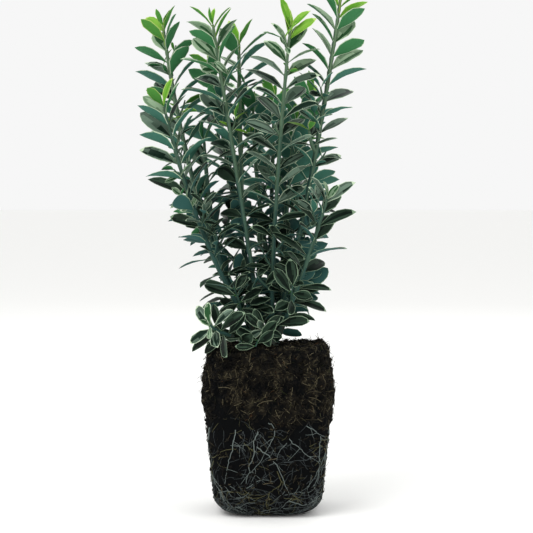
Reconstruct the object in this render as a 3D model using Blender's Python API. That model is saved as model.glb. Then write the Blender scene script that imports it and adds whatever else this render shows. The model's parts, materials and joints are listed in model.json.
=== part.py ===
"""A variegated box-leaf euonymus on its bare root ball, front towards -Y, standing on z = 0.

The plant is a square, tapered ball of compost, a short woody crown, one bare stem for each main
shoot, and one mass of foliage that grows on from each of those stems.
"""

import math
import random
from collections import namedtuple
from itertools import pairwise

import bmesh
import bpy
from mathutils import Matrix, Vector
from mathutils.bvhtree import BVHTree

MM = 0.001
UP = Vector((0, 0, 1))

# Finishes: a name, a linear colour and a roughness.
COMPOST = ("compost", (0.035, 0.026, 0.02), 0.95)
OLD_WOOD = ("old_wood", (0.09, 0.085, 0.06), 0.85)
YOUNG_BARK = ("young_bark", (0.07, 0.1, 0.075), 0.7)
VARIEGATED_LEAF = ("variegated_leaf", (0.06, 0.1, 0.055), 0.55)

# Root ball, in mm. It keeps the shape of the square pot that it came out of.
BALL_TOP = 115.5
BALL_TOP_HALF = 42
BALL_SHOULDER_HEIGHT = 82
BALL_SHOULDER_HALF = 43.5
BALL_FOOT_HALF = 37.5
BALL_FOOT_ROUNDING = 16
BALL_TOP_ROUNDING = 6
BALL_CORNER_RADIUS = 18
BALL_CORNER_STEPS = 4
BALL_ROUNDING_STEPS = 4
GROOVE_X = -8.6
GROOVE_WIDTH = 5.5
GROOVE_HEIGHT = 2.8

# Woody crown, in mm: a flared foot on the soil, a waist and a domed head that the stems leave.
CROWN_FOOT_RADIUS = 9.5
CROWN_WAIST_RADIUS = 6.6
CROWN_WAIST_HEIGHT = 2.5
CROWN_HEAD_RADIUS = 7
CROWN_HEAD_HEIGHT = 3.5
CROWN_SIDES = 16
CROWN_DOME_STEPS = 5

# Stems, in mm. A stem tapers all the way from the crown to the tip of its shoot.
STEM_FOOT_RADIUS = 1.6
STEM_TIP_RADIUS = 0.7
BOUGH_SIDES = 8
TWIG_SIDES = 3
TWIG_KNEE_OUT = 0.8
TWIG_KNEE_RISE = 0.35
RING_STEP = 22
ROUTE_STEPS = 48
GAP = 0.3

# Leaves, in mm and degrees. They stand in pairs that cross, and turn upwards towards the tip.
# PAIR_TURN is how far each second pair is turned from the first, which spreads them as a fan.
LEAF_LENGTH = 32
LOW_LEAF_SIZE = 0.58
FULL_SIZE_AT = 0.7
TIP_LEAF_SIZE = 0.66
TIP_SIZE_POWER = 8
LEAF_WIDTH_RATIO = 0.36
TIP_LEAF_WIDTH_RATIO = 0.46
TIP_WIDTH_POWER = 4
SIZE_RANGE = (0.88, 1.08)
LEAF_THICKNESS = 1.0
LEAF_CROWN_AT = 0.36
LEAF_STATIONS = ((0.34, 0.40), (0.70, 0.47))
LEAF_FOLD = 0.22
LEAF_DROOP = 0.13
LEAF_ROOT_DEPTH = 0.7
INTERNODE = 12
FOOT_CROWDING = 0.7
EVEN_FROM = 0.35
CROWDED_SIZE_POWER = 0.3
TIP_CROWDING = 0.55
CROWDING_POWER = 4
FIRST_PAIR = 0.4
LOW_LEAF_ANGLE = 97
TIP_LEAF_ANGLE = 27
MIDDLE_LEAF_ANGLE = 55
RISEN_AT = 0.45
TIP_ANGLE_POWER = 6
ANGLE_JITTER = 11
TURN_JITTER = 16
ROLL_JITTER = 14
LIGHT_TURN = 0.45
PAIR_TURN = 64
ROSETTE_GAIN = 2
ROSETTE_ANGLE = 66
LEAF_CLEARANCE = 0.5
SEED = 11

# How a leaf that would touch something is moved: turned about its stem, lifted, and shortened.
ADJUSTMENTS = (
    (0, 0, 1.0), (16, 0, 1.0), (-16, 0, 1.0), (0, -14, 1.0), (0, 14, 1.0),
    (28, -8, 0.92), (-28, -8, 0.92), (0, 0, 0.8), (24, -12, 0.75), (-24, -12, 0.75),
)

SideTwig = namedtuple("SideTwig", "start azimuth out rise internode")
Shoot = namedtuple(
    "Shoot",
    "place foot_azimuth foot_polar lean knee_out knee_up tip_out tip_up bare phase internode twigs",
)

# Each main shoot leaves the crown's head at foot_azimuth and foot_polar, and leans one way. It
# bends at a knee and ends at its tip, both given by their distance out and their height, in mm.
# A side twig starts at a share of the leafy stem's length.
UPRIGHT, LOW = 38, 76
SHOOTS = (
    Shoot("front", -60, UPRIGHT, -53, 5, 210, 25, 331, 7, 116, INTERNODE,
          (SideTwig(0.10, 205, 12, 12, 6),)),
    Shoot("middle_left", 210, UPRIGHT, 201, 21, 220, 40, 333, 10, 27, INTERNODE,
          (SideTwig(0.36, 100, 16, 118, INTERNODE),)),
    Shoot("outer_left", 196, LOW, 199, 49, 176, 74, 277, 14, 54, INTERNODE, ()),
    Shoot("right", 0, UPRIGHT, -9, 30, 210, 51, 358, 12, 67, INTERNODE,
          (SideTwig(0.50, 235, 8, 15, 6),)),
    Shoot("low_right", -38, LOW, -36, 27, 155, 49, 215, 10, 114, INTERNODE, ()),
    Shoot("tall_left", 160, LOW, 165, 54, 186, 76, 336, 14, 58, INTERNODE,
          (SideTwig(0.14, 170, 16, 96, INTERNODE),)),
    Shoot("low_front", 226, LOW, 228, 42, 120, 58, 131, 30, 40, 5, ()),
    Shoot("back_right", 50, UPRIGHT, 54, 32, 190, 50, 286, 10, 44, INTERNODE,
          (SideTwig(0.22, 76, 30, 78, INTERNODE),)),
    Shoot("back_left", 148, UPRIGHT, 130, 38, 200, 62, 312, 10, 68, INTERNODE,
          (SideTwig(0.18, 158, 42, 55, INTERNODE),)),
    Shoot("back", 100, UPRIGHT, 86, 38, 196, 61, 286, 10, 162, INTERNODE,
          (SideTwig(0.24, 215, 14, 108, INTERNODE),)),
    Shoot("low_back", 66, LOW, 64, 34, 146, 56, 200, 10, 174, INTERNODE, ()),
    Shoot("middle_right", 26, LOW, 48, 15, 190, 29, 270, 10, 175, INTERNODE, ()),
    Shoot("foot_front", 257, LOW, 262, 12, 122, 25, 127, 7, 35, 2.6, ()),
    Shoot("low_side", -6, LOW, -12, 13, 132, 21, 162, 7, 40, INTERNODE, ()),
    Shoot("low_back_left", 128, LOW, 145, 18, 132, 38, 168, 8, 153, INTERNODE, ()),
)


def heading(azimuth):
    """The level unit vector at this azimuth, in degrees from +X towards +Y."""
    return Vector((math.cos(math.radians(azimuth)), math.sin(math.radians(azimuth)), 0))


class Route:
    """The centre line of a limb, a bend through one knee, read by the distance along it in mm."""

    def __init__(self, start, knee, tip):
        shares = [step / ROUTE_STEPS for step in range(ROUTE_STEPS + 1)]
        self.points = [
            start * (1 - t) ** 2 + knee * (2 * t * (1 - t)) + tip * t**2 for t in shares
        ]
        self.reached = [0.0]
        for a, b in pairwise(self.points):
            self.reached.append(self.reached[-1] + (b - a).length)
        self.length = self.reached[-1]

    def at(self, distance):
        """The point at this distance, and the way the limb runs there."""
        last = len(self.points) - 2
        index = next((i for i in range(last) if self.reached[i + 1] > distance), last)
        a, b = self.points[index], self.points[index + 1]
        share = (distance - self.reached[index]) / (b - a).length
        return a.lerp(b, share), (b - a).normalized()


def material(name, colour, roughness):
    """A plain, non-metallic material."""
    made = bpy.data.materials.new(name)
    made.use_nodes = True
    shader = made.node_tree.nodes["Principled BSDF"]
    shader.inputs["Base Color"].default_value = (*colour, 1)
    shader.inputs["Roughness"].default_value = roughness
    shader.inputs["Metallic"].default_value = 0
    made.diffuse_color = (*colour, 1)
    return made


def add_object(name, points, faces, finish):
    """A mesh object from points in mm, with its faces pointing out."""
    mesh = bpy.data.meshes.new(name)
    mesh.from_pydata([point * MM for point in points], [], faces)
    shape = bmesh.new()
    shape.from_mesh(mesh)
    bmesh.ops.recalc_face_normals(shape, faces=shape.faces)
    shape.to_mesh(mesh)
    shape.free()
    if finish:
        mesh.materials.append(finish)
    obj = bpy.data.objects.new(name, mesh)
    bpy.context.scene.collection.objects.link(obj)
    return obj


def stacked(rings):
    """Points and faces of a closed skin over rings of equal size, listed from one end to the other."""
    count = len(rings[0])
    points = [point for ring in rings for point in ring]
    faces = [tuple(range(count)), tuple(range(len(points) - count, len(points)))]
    for level in range(len(rings) - 1):
        low, high = level * count, (level + 1) * count
        for i in range(count):
            j = (i + 1) % count
            faces.append((low + i, low + j, high + j, high + i))
    return points, faces


def square_ring(half, height):
    """A level square with rounded corners."""
    centre = half - BALL_CORNER_RADIUS
    ring = []
    for corner in range(4):
        middle = heading(45 + 90 * corner) * (centre * math.sqrt(2))
        for step in range(BALL_CORNER_STEPS + 1):
            azimuth = 90 * corner + 90 * step / BALL_CORNER_STEPS
            ring.append(middle + heading(azimuth) * BALL_CORNER_RADIUS + UP * height)
    return ring


def add_root_ball():
    """The ball of compost: rounded at its foot, widest at a shoulder, with a groove under it."""
    rings = []
    for step in range(BALL_ROUNDING_STEPS + 1):
        turn = math.radians(90 * step / BALL_ROUNDING_STEPS)
        half = BALL_FOOT_HALF - BALL_FOOT_ROUNDING * (1 - math.sin(turn))
        rings.append(square_ring(half, BALL_FOOT_ROUNDING * (1 - math.cos(turn))))
    rings.append(square_ring(BALL_SHOULDER_HALF, BALL_SHOULDER_HEIGHT))
    for step in range(BALL_ROUNDING_STEPS + 1):
        turn = math.radians(90 * step / BALL_ROUNDING_STEPS)
        half = BALL_TOP_HALF - BALL_TOP_ROUNDING * (1 - math.cos(turn))
        rings.append(square_ring(half, BALL_TOP - BALL_TOP_ROUNDING * (1 - math.sin(turn))))
    ball = add_object("root_ball", *stacked(rings), material(*COMPOST))
    groove = add_object("groove", *stacked(groove_ends()), None)
    groove.hide_render = True
    groove.display_type = "WIRE"
    cut = ball.modifiers.new("groove", "BOOLEAN")
    cut.operation = "DIFFERENCE"
    cut.solver = "EXACT"
    cut.object = groove
    return ball


def groove_ends():
    """The two ends of a bar with a V-shaped top, which runs from front to back under the ball."""
    half, reach = GROOVE_WIDTH / 2, BALL_SHOULDER_HALF
    section = ((-half, 0), (half, 0), (0, GROOVE_HEIGHT), (0, -GROOVE_HEIGHT))
    order = (0, 3, 1, 2)
    return [
        [Vector((GROOVE_X + section[i][0], y, section[i][1])) for i in order] for y in (-reach, reach)
    ]


def crown_head_centre():
    return UP * (BALL_TOP + GAP + CROWN_HEAD_HEIGHT)


def add_crown():
    """The short woody crown, from a flat cut on the soil up to the dome where the stems fork."""
    foot = BALL_TOP + GAP
    profile = [(CROWN_FOOT_RADIUS, foot), (CROWN_WAIST_RADIUS, foot + CROWN_WAIST_HEIGHT)]
    for step in range(CROWN_DOME_STEPS):
        turn = math.radians(90 * step / CROWN_DOME_STEPS)
        height = foot + CROWN_HEAD_HEIGHT + CROWN_HEAD_RADIUS * math.sin(turn)
        profile.append((CROWN_HEAD_RADIUS * math.cos(turn), height))
    rings = [
        [heading(360 * side / CROWN_SIDES) * radius + UP * height for side in range(CROWN_SIDES)]
        for radius, height in profile
    ]
    return add_object("trunk", *stacked(rings), material(*OLD_WOOD))


def shoot_route(shoot):
    """The centre line of a main shoot. Its foot clears the crown's head all round."""
    polar = math.radians(shoot.foot_polar)
    normal = heading(shoot.foot_azimuth) * math.sin(polar) + UP * math.cos(polar)
    knee = heading(shoot.lean) * shoot.knee_out + UP * shoot.knee_up
    tip = heading(shoot.lean) * shoot.tip_out + UP * shoot.tip_up
    surface = crown_head_centre() + normal * CROWN_HEAD_RADIUS
    tilt = normal.angle(knee - surface)
    start = surface + normal * (GAP + STEM_FOOT_RADIUS * math.sin(tilt))
    return Route(start, knee, tip)


def twig_route(main, bare, twig):
    """The centre line of a side twig, which starts inside the main stem and turns upwards."""
    start, _ = main.at(bare + twig.start * (main.length - bare))
    out = heading(twig.azimuth) * twig.out
    knee = start + out * TWIG_KNEE_OUT + UP * (twig.rise * TWIG_KNEE_RISE)
    return Route(start, knee, start + out + UP * twig.rise)


def stem_radius(share):
    return STEM_FOOT_RADIUS + (STEM_TIP_RADIUS - STEM_FOOT_RADIUS) * share


def cross_section(route, distance, radius, sides, across):
    """A ring of points round the limb, square to it. across is a vector that fixes its turn."""
    centre, along = route.at(distance)
    first = (across - along * across.dot(along)).normalized()
    second = along.cross(first)
    ring = []
    for side in range(sides):
        turn = 2 * math.pi * side / sides
        ring.append(centre + (first * math.cos(turn) + second * math.sin(turn)) * radius)
    return ring


def limb(route, start, end, sides, across):
    """Points and faces of a tapering limb along part of its route."""
    steps = max(2, math.ceil((end - start) / RING_STEP))
    rings = []
    for step in range(steps + 1):
        distance = start + (end - start) * step / steps
        radius = stem_radius(distance / route.length)
        rings.append(cross_section(route, distance, radius, sides, across))
    return stacked(rings)


def leaf(length, width, margin=0):
    """A narrow leaf along +X as a thin lens: a folded rim, with one point over it and one under."""
    length += margin
    width += 2 * margin

    def rim_point(at, half_width):
        side = half_width * width
        return Vector((at * length, side, abs(side) * LEAF_FOLD - LEAF_DROOP * length * at**2))

    near, far = LEAF_STATIONS
    rim = [
        rim_point(0, 0), rim_point(near[0], -near[1]), rim_point(far[0], -far[1]),
        rim_point(1, 0), rim_point(*far), rim_point(*near),
    ]
    crown = rim_point(LEAF_CROWN_AT, 0)
    points = [*rim, crown + UP * margin, crown - UP * (LEAF_THICKNESS + margin)]
    faces = []
    for i in range(len(rim)):
        j = (i + 1) % len(rim)
        faces += [(i, j, len(rim)), (j, i, len(rim) + 1)]
    return points, faces


def leaf_frame(route, distance, across, turn, angle, roll):
    """The placing of a leaf: its root inside the stem, its face turned to the tip and the light."""
    centre, along = route.at(distance)
    first = (across - along * across.dot(along)).normalized()
    out = Matrix.Rotation(math.radians(turn), 3, along) @ first
    forward = out * math.sin(math.radians(angle)) + along * math.cos(math.radians(angle))
    light = along + Vector((centre.x, centre.y, 0)).normalized() * LIGHT_TURN
    over = (light - forward * light.dot(forward)).normalized()
    over = Matrix.Rotation(math.radians(roll), 3, forward) @ over
    side = over.cross(forward)
    root = centre - out * (stem_radius(distance / route.length) * LEAF_ROOT_DEPTH)
    placing = Matrix((forward, side, over)).transposed().to_4x4()
    placing.translation = root
    return placing


def openness(internode):
    """How far a shoot opens into a rosette, from 0 to 1 where its pairs stand close together."""
    return min(1, max(0, ROSETTE_GAIN * (1 - internode / INTERNODE)))


def pair_turn(internode):
    """How far each second pair is turned from the first: a fan, or a cross in a rosette."""
    return PAIR_TURN + (90 - PAIR_TURN) * openness(internode)


def leaf_angle(share, internode):
    """The angle of a leaf to its stem: level at the foot, then rising, and upright at the tip."""
    middle, tip = (
        angle + (ROSETTE_ANGLE - angle) * openness(internode) for angle in (MIDDLE_LEAF_ANGLE, TIP_LEAF_ANGLE)
    )
    risen = (middle - LOW_LEAF_ANGLE) * min(1, share / RISEN_AT)
    return LOW_LEAF_ANGLE + risen + (tip - middle) * share**TIP_ANGLE_POWER


def leaf_length(share):
    """Leaves are a little shorter at the foot of a shoot, and much shorter at its growing tip."""
    lower = min(1, LOW_LEAF_SIZE + (1 - LOW_LEAF_SIZE) * share / FULL_SIZE_AT)
    return LEAF_LENGTH * lower * (1 - (1 - TIP_LEAF_SIZE) * share**TIP_SIZE_POWER)


def width_ratio(share, internode):
    """A leaf's width for its length: broader near a growing tip, but not in a rosette."""
    broader = (TIP_LEAF_WIDTH_RATIO - LEAF_WIDTH_RATIO) * share**TIP_WIDTH_POWER
    return LEAF_WIDTH_RATIO + broader * (1 - openness(internode))


def crowded_size(internode):
    """A stem whose pairs stand close together carries smaller leaves."""
    return (internode / INTERNODE) ** CROWDED_SIZE_POWER


def node_distances(start, length, internode):
    """Where the leaf pairs stand along a stem: evenly, but closer together at its foot and its tip."""
    distance = start
    while distance < length:
        yield distance
        share = distance / length
        low = min(1, FOOT_CROWDING + (1 - FOOT_CROWDING) * share / EVEN_FROM)
        distance += internode * low * (1 - TIP_CROWDING * share**CROWDING_POWER)


class Space:
    """What is already built, so that a leaf can be kept clear of it."""

    def __init__(self):
        self.items = []

    def add(self, owner, points, faces):
        centre = sum(points, Vector()) / len(points)
        radius = max((point - centre).length for point in points)
        self.items.append((owner, centre, radius, BVHTree.FromPolygons(points, faces)))

    def is_free(self, points, faces, ignored):
        """Whether this shape touches nothing but what the ignored owners hold."""
        centre = sum(points, Vector()) / len(points)
        reach = max((point - centre).length for point in points)
        tree = BVHTree.FromPolygons(points, faces)
        return not any(
            (centre - other).length < reach + radius and tree.overlap(other_tree)
            for owner, other, radius, other_tree in self.items
            if owner not in ignored
        )


def place_leaf(space, route, distance, across, turn, angle, roll, size, ratio, ignored):
    """The first placing of a leaf that touches nothing, as its points and faces, or None."""
    for more_turn, more_angle, scale in ADJUSTMENTS:
        placing = leaf_frame(route, distance, across, turn + more_turn, angle + more_angle, roll)
        length = size * scale
        wide, faces = leaf(length, length * ratio, LEAF_CLEARANCE)
        if space.is_free([placing @ point for point in wide], faces, ignored):
            points, faces = leaf(length, length * ratio)
            return [placing @ point for point in points], faces
    return None


def add_leaves(space, owner, route, start, across, phase, internode, rng):
    """The crossed pairs of leaves along one stem, as a list of shapes."""
    shapes = []
    for index, distance in enumerate(node_distances(start, route.length, internode)):
        share = distance / route.length
        ratio = width_ratio(share, internode)
        node = f"{owner} pair {index}"
        pair = []
        for side in (0, 180):
            turn = phase + pair_turn(internode) * (index % 2) + side + rng.uniform(-TURN_JITTER, TURN_JITTER)
            angle = leaf_angle(share, internode) + rng.uniform(-ANGLE_JITTER, ANGLE_JITTER)
            roll = rng.uniform(-ROLL_JITTER, ROLL_JITTER)
            size = leaf_length(share) * rng.uniform(*SIZE_RANGE) * crowded_size(internode)
            shape = place_leaf(
                space, route, distance, across, turn, angle, roll, size, ratio, {owner, node}
            )
            if shape:
                pair.append(shape)
        for shape in pair:
            space.add(node, *shape)
        shapes += pair
    return shapes


def fuse(name, shapes, finish):
    """One solid from shapes that cross each other, the first of them being the stem."""
    parts = bpy.data.collections.new(f"{name} parts")
    bpy.context.scene.collection.children.link(parts)
    for index, (points, faces) in enumerate(shapes[1:]):
        part = add_object(f"{name} part {index}", points, faces, None)
        parts.objects.link(part)
        bpy.context.scene.collection.objects.unlink(part)
    obj = add_object(name, *shapes[0], finish)
    union = obj.modifiers.new("union", "BOOLEAN")
    union.operation = "UNION"
    union.solver = "EXACT"
    union.operand_type = "COLLECTION"
    union.collection = parts
    bpy.context.view_layer.update()
    evaluated = obj.evaluated_get(bpy.context.evaluated_depsgraph_get())
    fused = bpy.data.meshes.new_from_object(evaluated)
    obj.modifiers.clear()
    obj.data = fused
    for part in list(parts.objects):
        bpy.data.objects.remove(part)
    bpy.data.collections.remove(parts)
    return obj


def add_shoots(space):
    """Every bare stem, and then the mass of foliage that grows on from each."""
    bark = material(*YOUNG_BARK)
    foliage = material(*VARIEGATED_LEAF)
    stems = {}
    for shoot in SHOOTS:
        across = UP.cross(heading(shoot.lean))
        route = shoot_route(shoot)
        bough = limb(route, 0, shoot.bare, BOUGH_SIDES, across)
        add_object(f"stem_{shoot.place}", *bough, bark)
        space.add("bough", *bough)
        start = shoot.bare + GAP
        stem = limb(route, start, route.length, TWIG_SIDES, across)
        space.add(shoot.place, *stem)
        twigs = [(twig, twig_route(route, shoot.bare, twig)) for twig in shoot.twigs]
        for index, (_, path) in enumerate(twigs):
            space.add(f"{shoot.place} twig {index}", *limb(path, 0, path.length, TWIG_SIDES, across))
        stems[shoot.place] = (route, start, across, stem, twigs)
    for number, shoot in enumerate(SHOOTS):
        rng = random.Random(SEED + number)
        route, start, across, stem, twigs = stems[shoot.place]
        shapes = [stem]
        first = start + shoot.internode * FIRST_PAIR
        shapes += add_leaves(
            space, shoot.place, route, first, across, shoot.phase, shoot.internode, rng
        )
        for index, (twig, path) in enumerate(twigs):
            owner = f"{shoot.place} twig {index}"
            shapes.append(limb(path, 0, path.length, TWIG_SIDES, across))
            shapes += add_leaves(
                space, owner, path, twig.internode, across, shoot.phase, twig.internode, rng
            )
        fuse(f"foliage_{shoot.place}", shapes, foliage)


def build():
    for obj in list(bpy.data.objects):
        bpy.data.objects.remove(obj)
    ball, crown = add_root_ball(), add_crown()
    bpy.context.view_layer.update()
    space = Space()
    for obj in (ball, crown):
        points = [obj.matrix_world @ vertex.co / MM for vertex in obj.data.vertices]
        space.add(obj.name, points, [tuple(face.vertices) for face in obj.data.polygons])
    add_shoots(space)


build()
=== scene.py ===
"""A variegated box-leaf euonymus on its bare root ball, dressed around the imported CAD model.

The crown grows by the same seeded rule as the CAD solids, from the same stems, and is carried on to
small side shoots in the leaf axils. The root ball gets crumbly compost, fibres and living roots.
"""

import functools
import json
import math
import random
from collections import namedtuple
from itertools import pairwise

import bmesh
import bpy
import numpy as np
from mathutils import Matrix, Vector, noise
from mathutils.bvhtree import BVHTree

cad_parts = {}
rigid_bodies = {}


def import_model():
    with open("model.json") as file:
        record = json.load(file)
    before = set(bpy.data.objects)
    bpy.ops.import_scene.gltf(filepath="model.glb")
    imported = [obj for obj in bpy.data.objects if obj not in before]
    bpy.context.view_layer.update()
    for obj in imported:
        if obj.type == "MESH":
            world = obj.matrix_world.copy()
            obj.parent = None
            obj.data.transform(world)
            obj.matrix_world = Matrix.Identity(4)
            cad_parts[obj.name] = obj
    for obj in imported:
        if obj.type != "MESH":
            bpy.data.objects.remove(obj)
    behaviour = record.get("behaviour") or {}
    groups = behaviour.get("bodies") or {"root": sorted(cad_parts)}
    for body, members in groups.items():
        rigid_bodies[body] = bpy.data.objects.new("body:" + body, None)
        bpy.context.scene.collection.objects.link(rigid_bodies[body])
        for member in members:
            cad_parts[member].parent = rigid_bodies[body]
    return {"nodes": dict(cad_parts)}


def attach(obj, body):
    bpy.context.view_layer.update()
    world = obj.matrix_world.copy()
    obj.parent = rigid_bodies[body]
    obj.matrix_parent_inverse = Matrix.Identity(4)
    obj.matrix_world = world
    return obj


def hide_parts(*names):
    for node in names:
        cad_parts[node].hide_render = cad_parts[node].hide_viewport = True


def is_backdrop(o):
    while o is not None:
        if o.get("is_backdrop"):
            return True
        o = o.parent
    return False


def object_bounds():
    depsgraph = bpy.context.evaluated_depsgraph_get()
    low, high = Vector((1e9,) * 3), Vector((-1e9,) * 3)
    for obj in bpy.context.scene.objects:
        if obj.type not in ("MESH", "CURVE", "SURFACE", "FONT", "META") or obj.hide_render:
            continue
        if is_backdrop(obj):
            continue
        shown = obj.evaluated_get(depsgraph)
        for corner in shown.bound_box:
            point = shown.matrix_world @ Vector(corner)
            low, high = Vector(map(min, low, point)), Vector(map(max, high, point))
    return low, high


bl_info = {
    "name": "Variegated box-leaf euonymus",
    "version": (1, 0, 0),
    "blender": (4, 5, 0),
    "location": "3D View > Sidebar > Euonymus",
    "description": "Dresses a young shrub and its root ball around the packed model",
    "category": "Object",
}

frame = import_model()
CAD_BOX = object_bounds()

MM = 0.001
UP = Vector((0, 0, 1))
FAINT_SPECULAR = 0.2

# Root ball, in mm, as in the CAD source.
BALL_TOP = 115.5
BALL_TOP_HALF = 42
BALL_SHOULDER_HEIGHT = 82
BALL_SHOULDER_HALF = 43.5
BALL_FOOT_HALF = 37.5
BALL_FOOT_ROUNDING = 16
BALL_TOP_ROUNDING = 6
BALL_CORNER_RADIUS = 18
GROOVE_X = -8.6
GROOVE_WIDTH = 5.5
GROOVE_HEIGHT = 2.8
GROOVE_REACH = 12

# Woody crown and stems, in mm, as in the CAD source.
CROWN_FOOT_RADIUS = 9.5
CROWN_WAIST_RADIUS = 6.6
CROWN_WAIST_HEIGHT = 2.5
CROWN_HEAD_RADIUS = 7
CROWN_HEAD_HEIGHT = 3.5
STEM_FOOT_RADIUS = 1.6
STEM_TIP_RADIUS = 0.7
BOUGH_SIDES = 8
TWIG_SIDES = 3
TWIG_KNEE_OUT = 0.8
TWIG_KNEE_RISE = 0.35
RING_STEP = 22
ROUTE_STEPS = 48
GAP = 0.3

# Leaves, in mm and degrees, as in the CAD source.
LEAF_LENGTH = 32
LOW_LEAF_SIZE = 0.58
FULL_SIZE_AT = 0.7
TIP_LEAF_SIZE = 0.66
TIP_SIZE_POWER = 8
LEAF_WIDTH_RATIO = 0.36
TIP_LEAF_WIDTH_RATIO = 0.46
TIP_WIDTH_POWER = 4
SIZE_RANGE = (0.88, 1.08)
LEAF_THICKNESS = 1.0
LEAF_CROWN_AT = 0.36
LEAF_STATIONS = ((0.34, 0.40), (0.70, 0.47))
LEAF_FOLD = 0.22
LEAF_DROOP = 0.13
LEAF_ROOT_DEPTH = 0.7
INTERNODE = 12
FOOT_CROWDING = 0.7
EVEN_FROM = 0.35
CROWDED_SIZE_POWER = 0.3
TIP_CROWDING = 0.55
CROWDING_POWER = 4
FIRST_PAIR = 0.4
LOW_LEAF_ANGLE = 97
TIP_LEAF_ANGLE = 27
MIDDLE_LEAF_ANGLE = 55
RISEN_AT = 0.45
TIP_ANGLE_POWER = 6
ANGLE_JITTER = 11
TURN_JITTER = 16
ROLL_JITTER = 14
LIGHT_TURN = 0.45
PAIR_TURN = 64
ROSETTE_GAIN = 2
ROSETTE_ANGLE = 66
LEAF_CLEARANCE = 0.5
SEED = 11

# How a leaf that would touch something is moved: turned about its stem, lifted, and shortened.
ADJUSTMENTS = (
    (0, 0, 1.0), (16, 0, 1.0), (-16, 0, 1.0), (0, -14, 1.0), (0, 14, 1.0),
    (28, -8, 0.92), (-28, -8, 0.92), (0, 0, 0.8), (24, -12, 0.75), (-24, -12, 0.75),
)

SideTwig = namedtuple("SideTwig", "start azimuth out rise internode")
Shoot = namedtuple(
    "Shoot",
    "place foot_azimuth foot_polar lean knee_out knee_up tip_out tip_up bare phase internode twigs",
)

# Each main shoot leaves the crown's head at foot_azimuth and foot_polar, and leans one way. It
# bends at a knee and ends at its tip, both given by their distance out and their height, in mm.
UPRIGHT, LOW = 38, 76
SHOOTS = (
    Shoot("front", -60, UPRIGHT, -53, 5, 210, 25, 331, 7, 116, INTERNODE,
          (SideTwig(0.10, 205, 12, 12, 6),)),
    Shoot("middle_left", 210, UPRIGHT, 201, 21, 220, 40, 333, 10, 27, INTERNODE,
          (SideTwig(0.36, 100, 16, 118, INTERNODE),)),
    Shoot("outer_left", 196, LOW, 199, 49, 176, 74, 277, 14, 54, INTERNODE, ()),
    Shoot("right", 0, UPRIGHT, -9, 30, 210, 51, 358, 12, 67, INTERNODE,
          (SideTwig(0.50, 235, 8, 15, 6),)),
    Shoot("low_right", -38, LOW, -36, 27, 155, 49, 215, 10, 114, INTERNODE, ()),
    Shoot("tall_left", 160, LOW, 165, 54, 186, 76, 336, 14, 58, INTERNODE,
          (SideTwig(0.14, 170, 16, 96, INTERNODE),)),
    Shoot("low_front", 226, LOW, 228, 42, 120, 58, 131, 30, 40, 5, ()),
    Shoot("back_right", 50, UPRIGHT, 54, 32, 190, 50, 286, 10, 44, INTERNODE,
          (SideTwig(0.22, 76, 30, 78, INTERNODE),)),
    Shoot("back_left", 148, UPRIGHT, 130, 38, 200, 62, 312, 10, 68, INTERNODE,
          (SideTwig(0.18, 158, 42, 55, INTERNODE),)),
    Shoot("back", 100, UPRIGHT, 86, 38, 196, 61, 286, 10, 162, INTERNODE,
          (SideTwig(0.24, 215, 14, 108, INTERNODE),)),
    Shoot("low_back", 66, LOW, 64, 34, 146, 56, 200, 10, 174, INTERNODE, ()),
    Shoot("middle_right", 26, LOW, 48, 15, 190, 29, 270, 10, 175, INTERNODE, ()),
    Shoot("foot_front", 257, LOW, 262, 12, 122, 25, 127, 7, 35, 2.6, ()),
    Shoot("low_side", -6, LOW, -12, 13, 132, 21, 162, 7, 40, INTERNODE, ()),
    Shoot("low_back_left", 128, LOW, 145, 18, 132, 38, 168, 8, 153, INTERNODE, ()),
)

# A limb that is built: the shoot it belongs to, its centre line, its radius at each end in mm, a
# vector that fixes its turn, where it starts along the line, and the distances of its leaf pairs.
Limb = namedtuple("Limb", "place route foot_radius tip_radius across start nodes")
# A leaf that is built: the shoot it belongs to, where it is placed, its size in mm, and how far up
# its stem it stands, from 0 to 1.
Leaf = namedtuple("Leaf", "place placing length width share")

# Side shoots in the leaf axils: leafy twigs low on a stem and short fresh tufts near its tip. Near
# the foot of the crown more of them grow, with larger leaves. Lengths are in mm, angles in degrees.
AXIL_SEED = 400
AXIL_CHANCE_LOW, AXIL_CHANCE_HIGH, AXIL_HIGHEST = 0.3, 0.25, 0.93
AXIL_LOW_LENGTH, AXIL_HIGH_LENGTH, AXIL_SHORTENING = (14, 34), (8, 14), 1.4
AXIL_FOOT_RADIUS, AXIL_TIP_RADIUS = 0.8, 0.4
# It leaves the stem a little over the leaf's root, bends at a knee and turns up to its tip.
AXIL_RISE, AXIL_ANGLE = 1, 46
AXIL_KNEE, AXIL_UPTURN, AXIL_OUTER = 0.5, 1.1, 0.6
AXIL_RETRIES = (0, 40, -40)
AXIL_BARE, AXIL_INTERNODE, AXIL_ROLLS, AXIL_CLEARANCE = 3.5, 6.5, 42, 0.1
AXIL_LEAF_SCALE, FOOT_LEAF_SCALE, AXIL_LEAF_SHRINKING = (0.46, 0.72), (0.66, 0.95), 0.2
AXIL_FRESHER, AXIL_FRESHEST = 0.25, 0.95
CROWDED_BELOW = 0.75
FOOT_REACH, FOOT_CHANCE = 150, 0.42
FRESH_CHANCE, FRESH_ABOVE = 0.35, 190

# Short shoots from the foot of the woody crown, close over the compost, in degrees and mm. The long
# ones reach out over the edge of the ball at the front.
BasalKind = namedtuple("BasalKind", "azimuths reach rise knee_share knee_rise first_leaf")
SHORT_BASAL = BasalKind((-150, -112, -72, 60, 105, 150, 190), (9, 16), (4, 15), 0.5, 3, 0.45)
LONG_BASAL = BasalKind((-124, -104), (31, 36), (-2, 0), 0.6, 6, 0.62)
BASAL_TURN_JITTER, BASAL_ROOT_OUT, BASAL_ROOT_HEIGHT = 6, 0.6, (2, 6)
BASAL_INTERNODE, BASAL_PHASE, BASAL_LEAF_SCALE = 5.5, 45, (0.85, 1.15)

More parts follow.
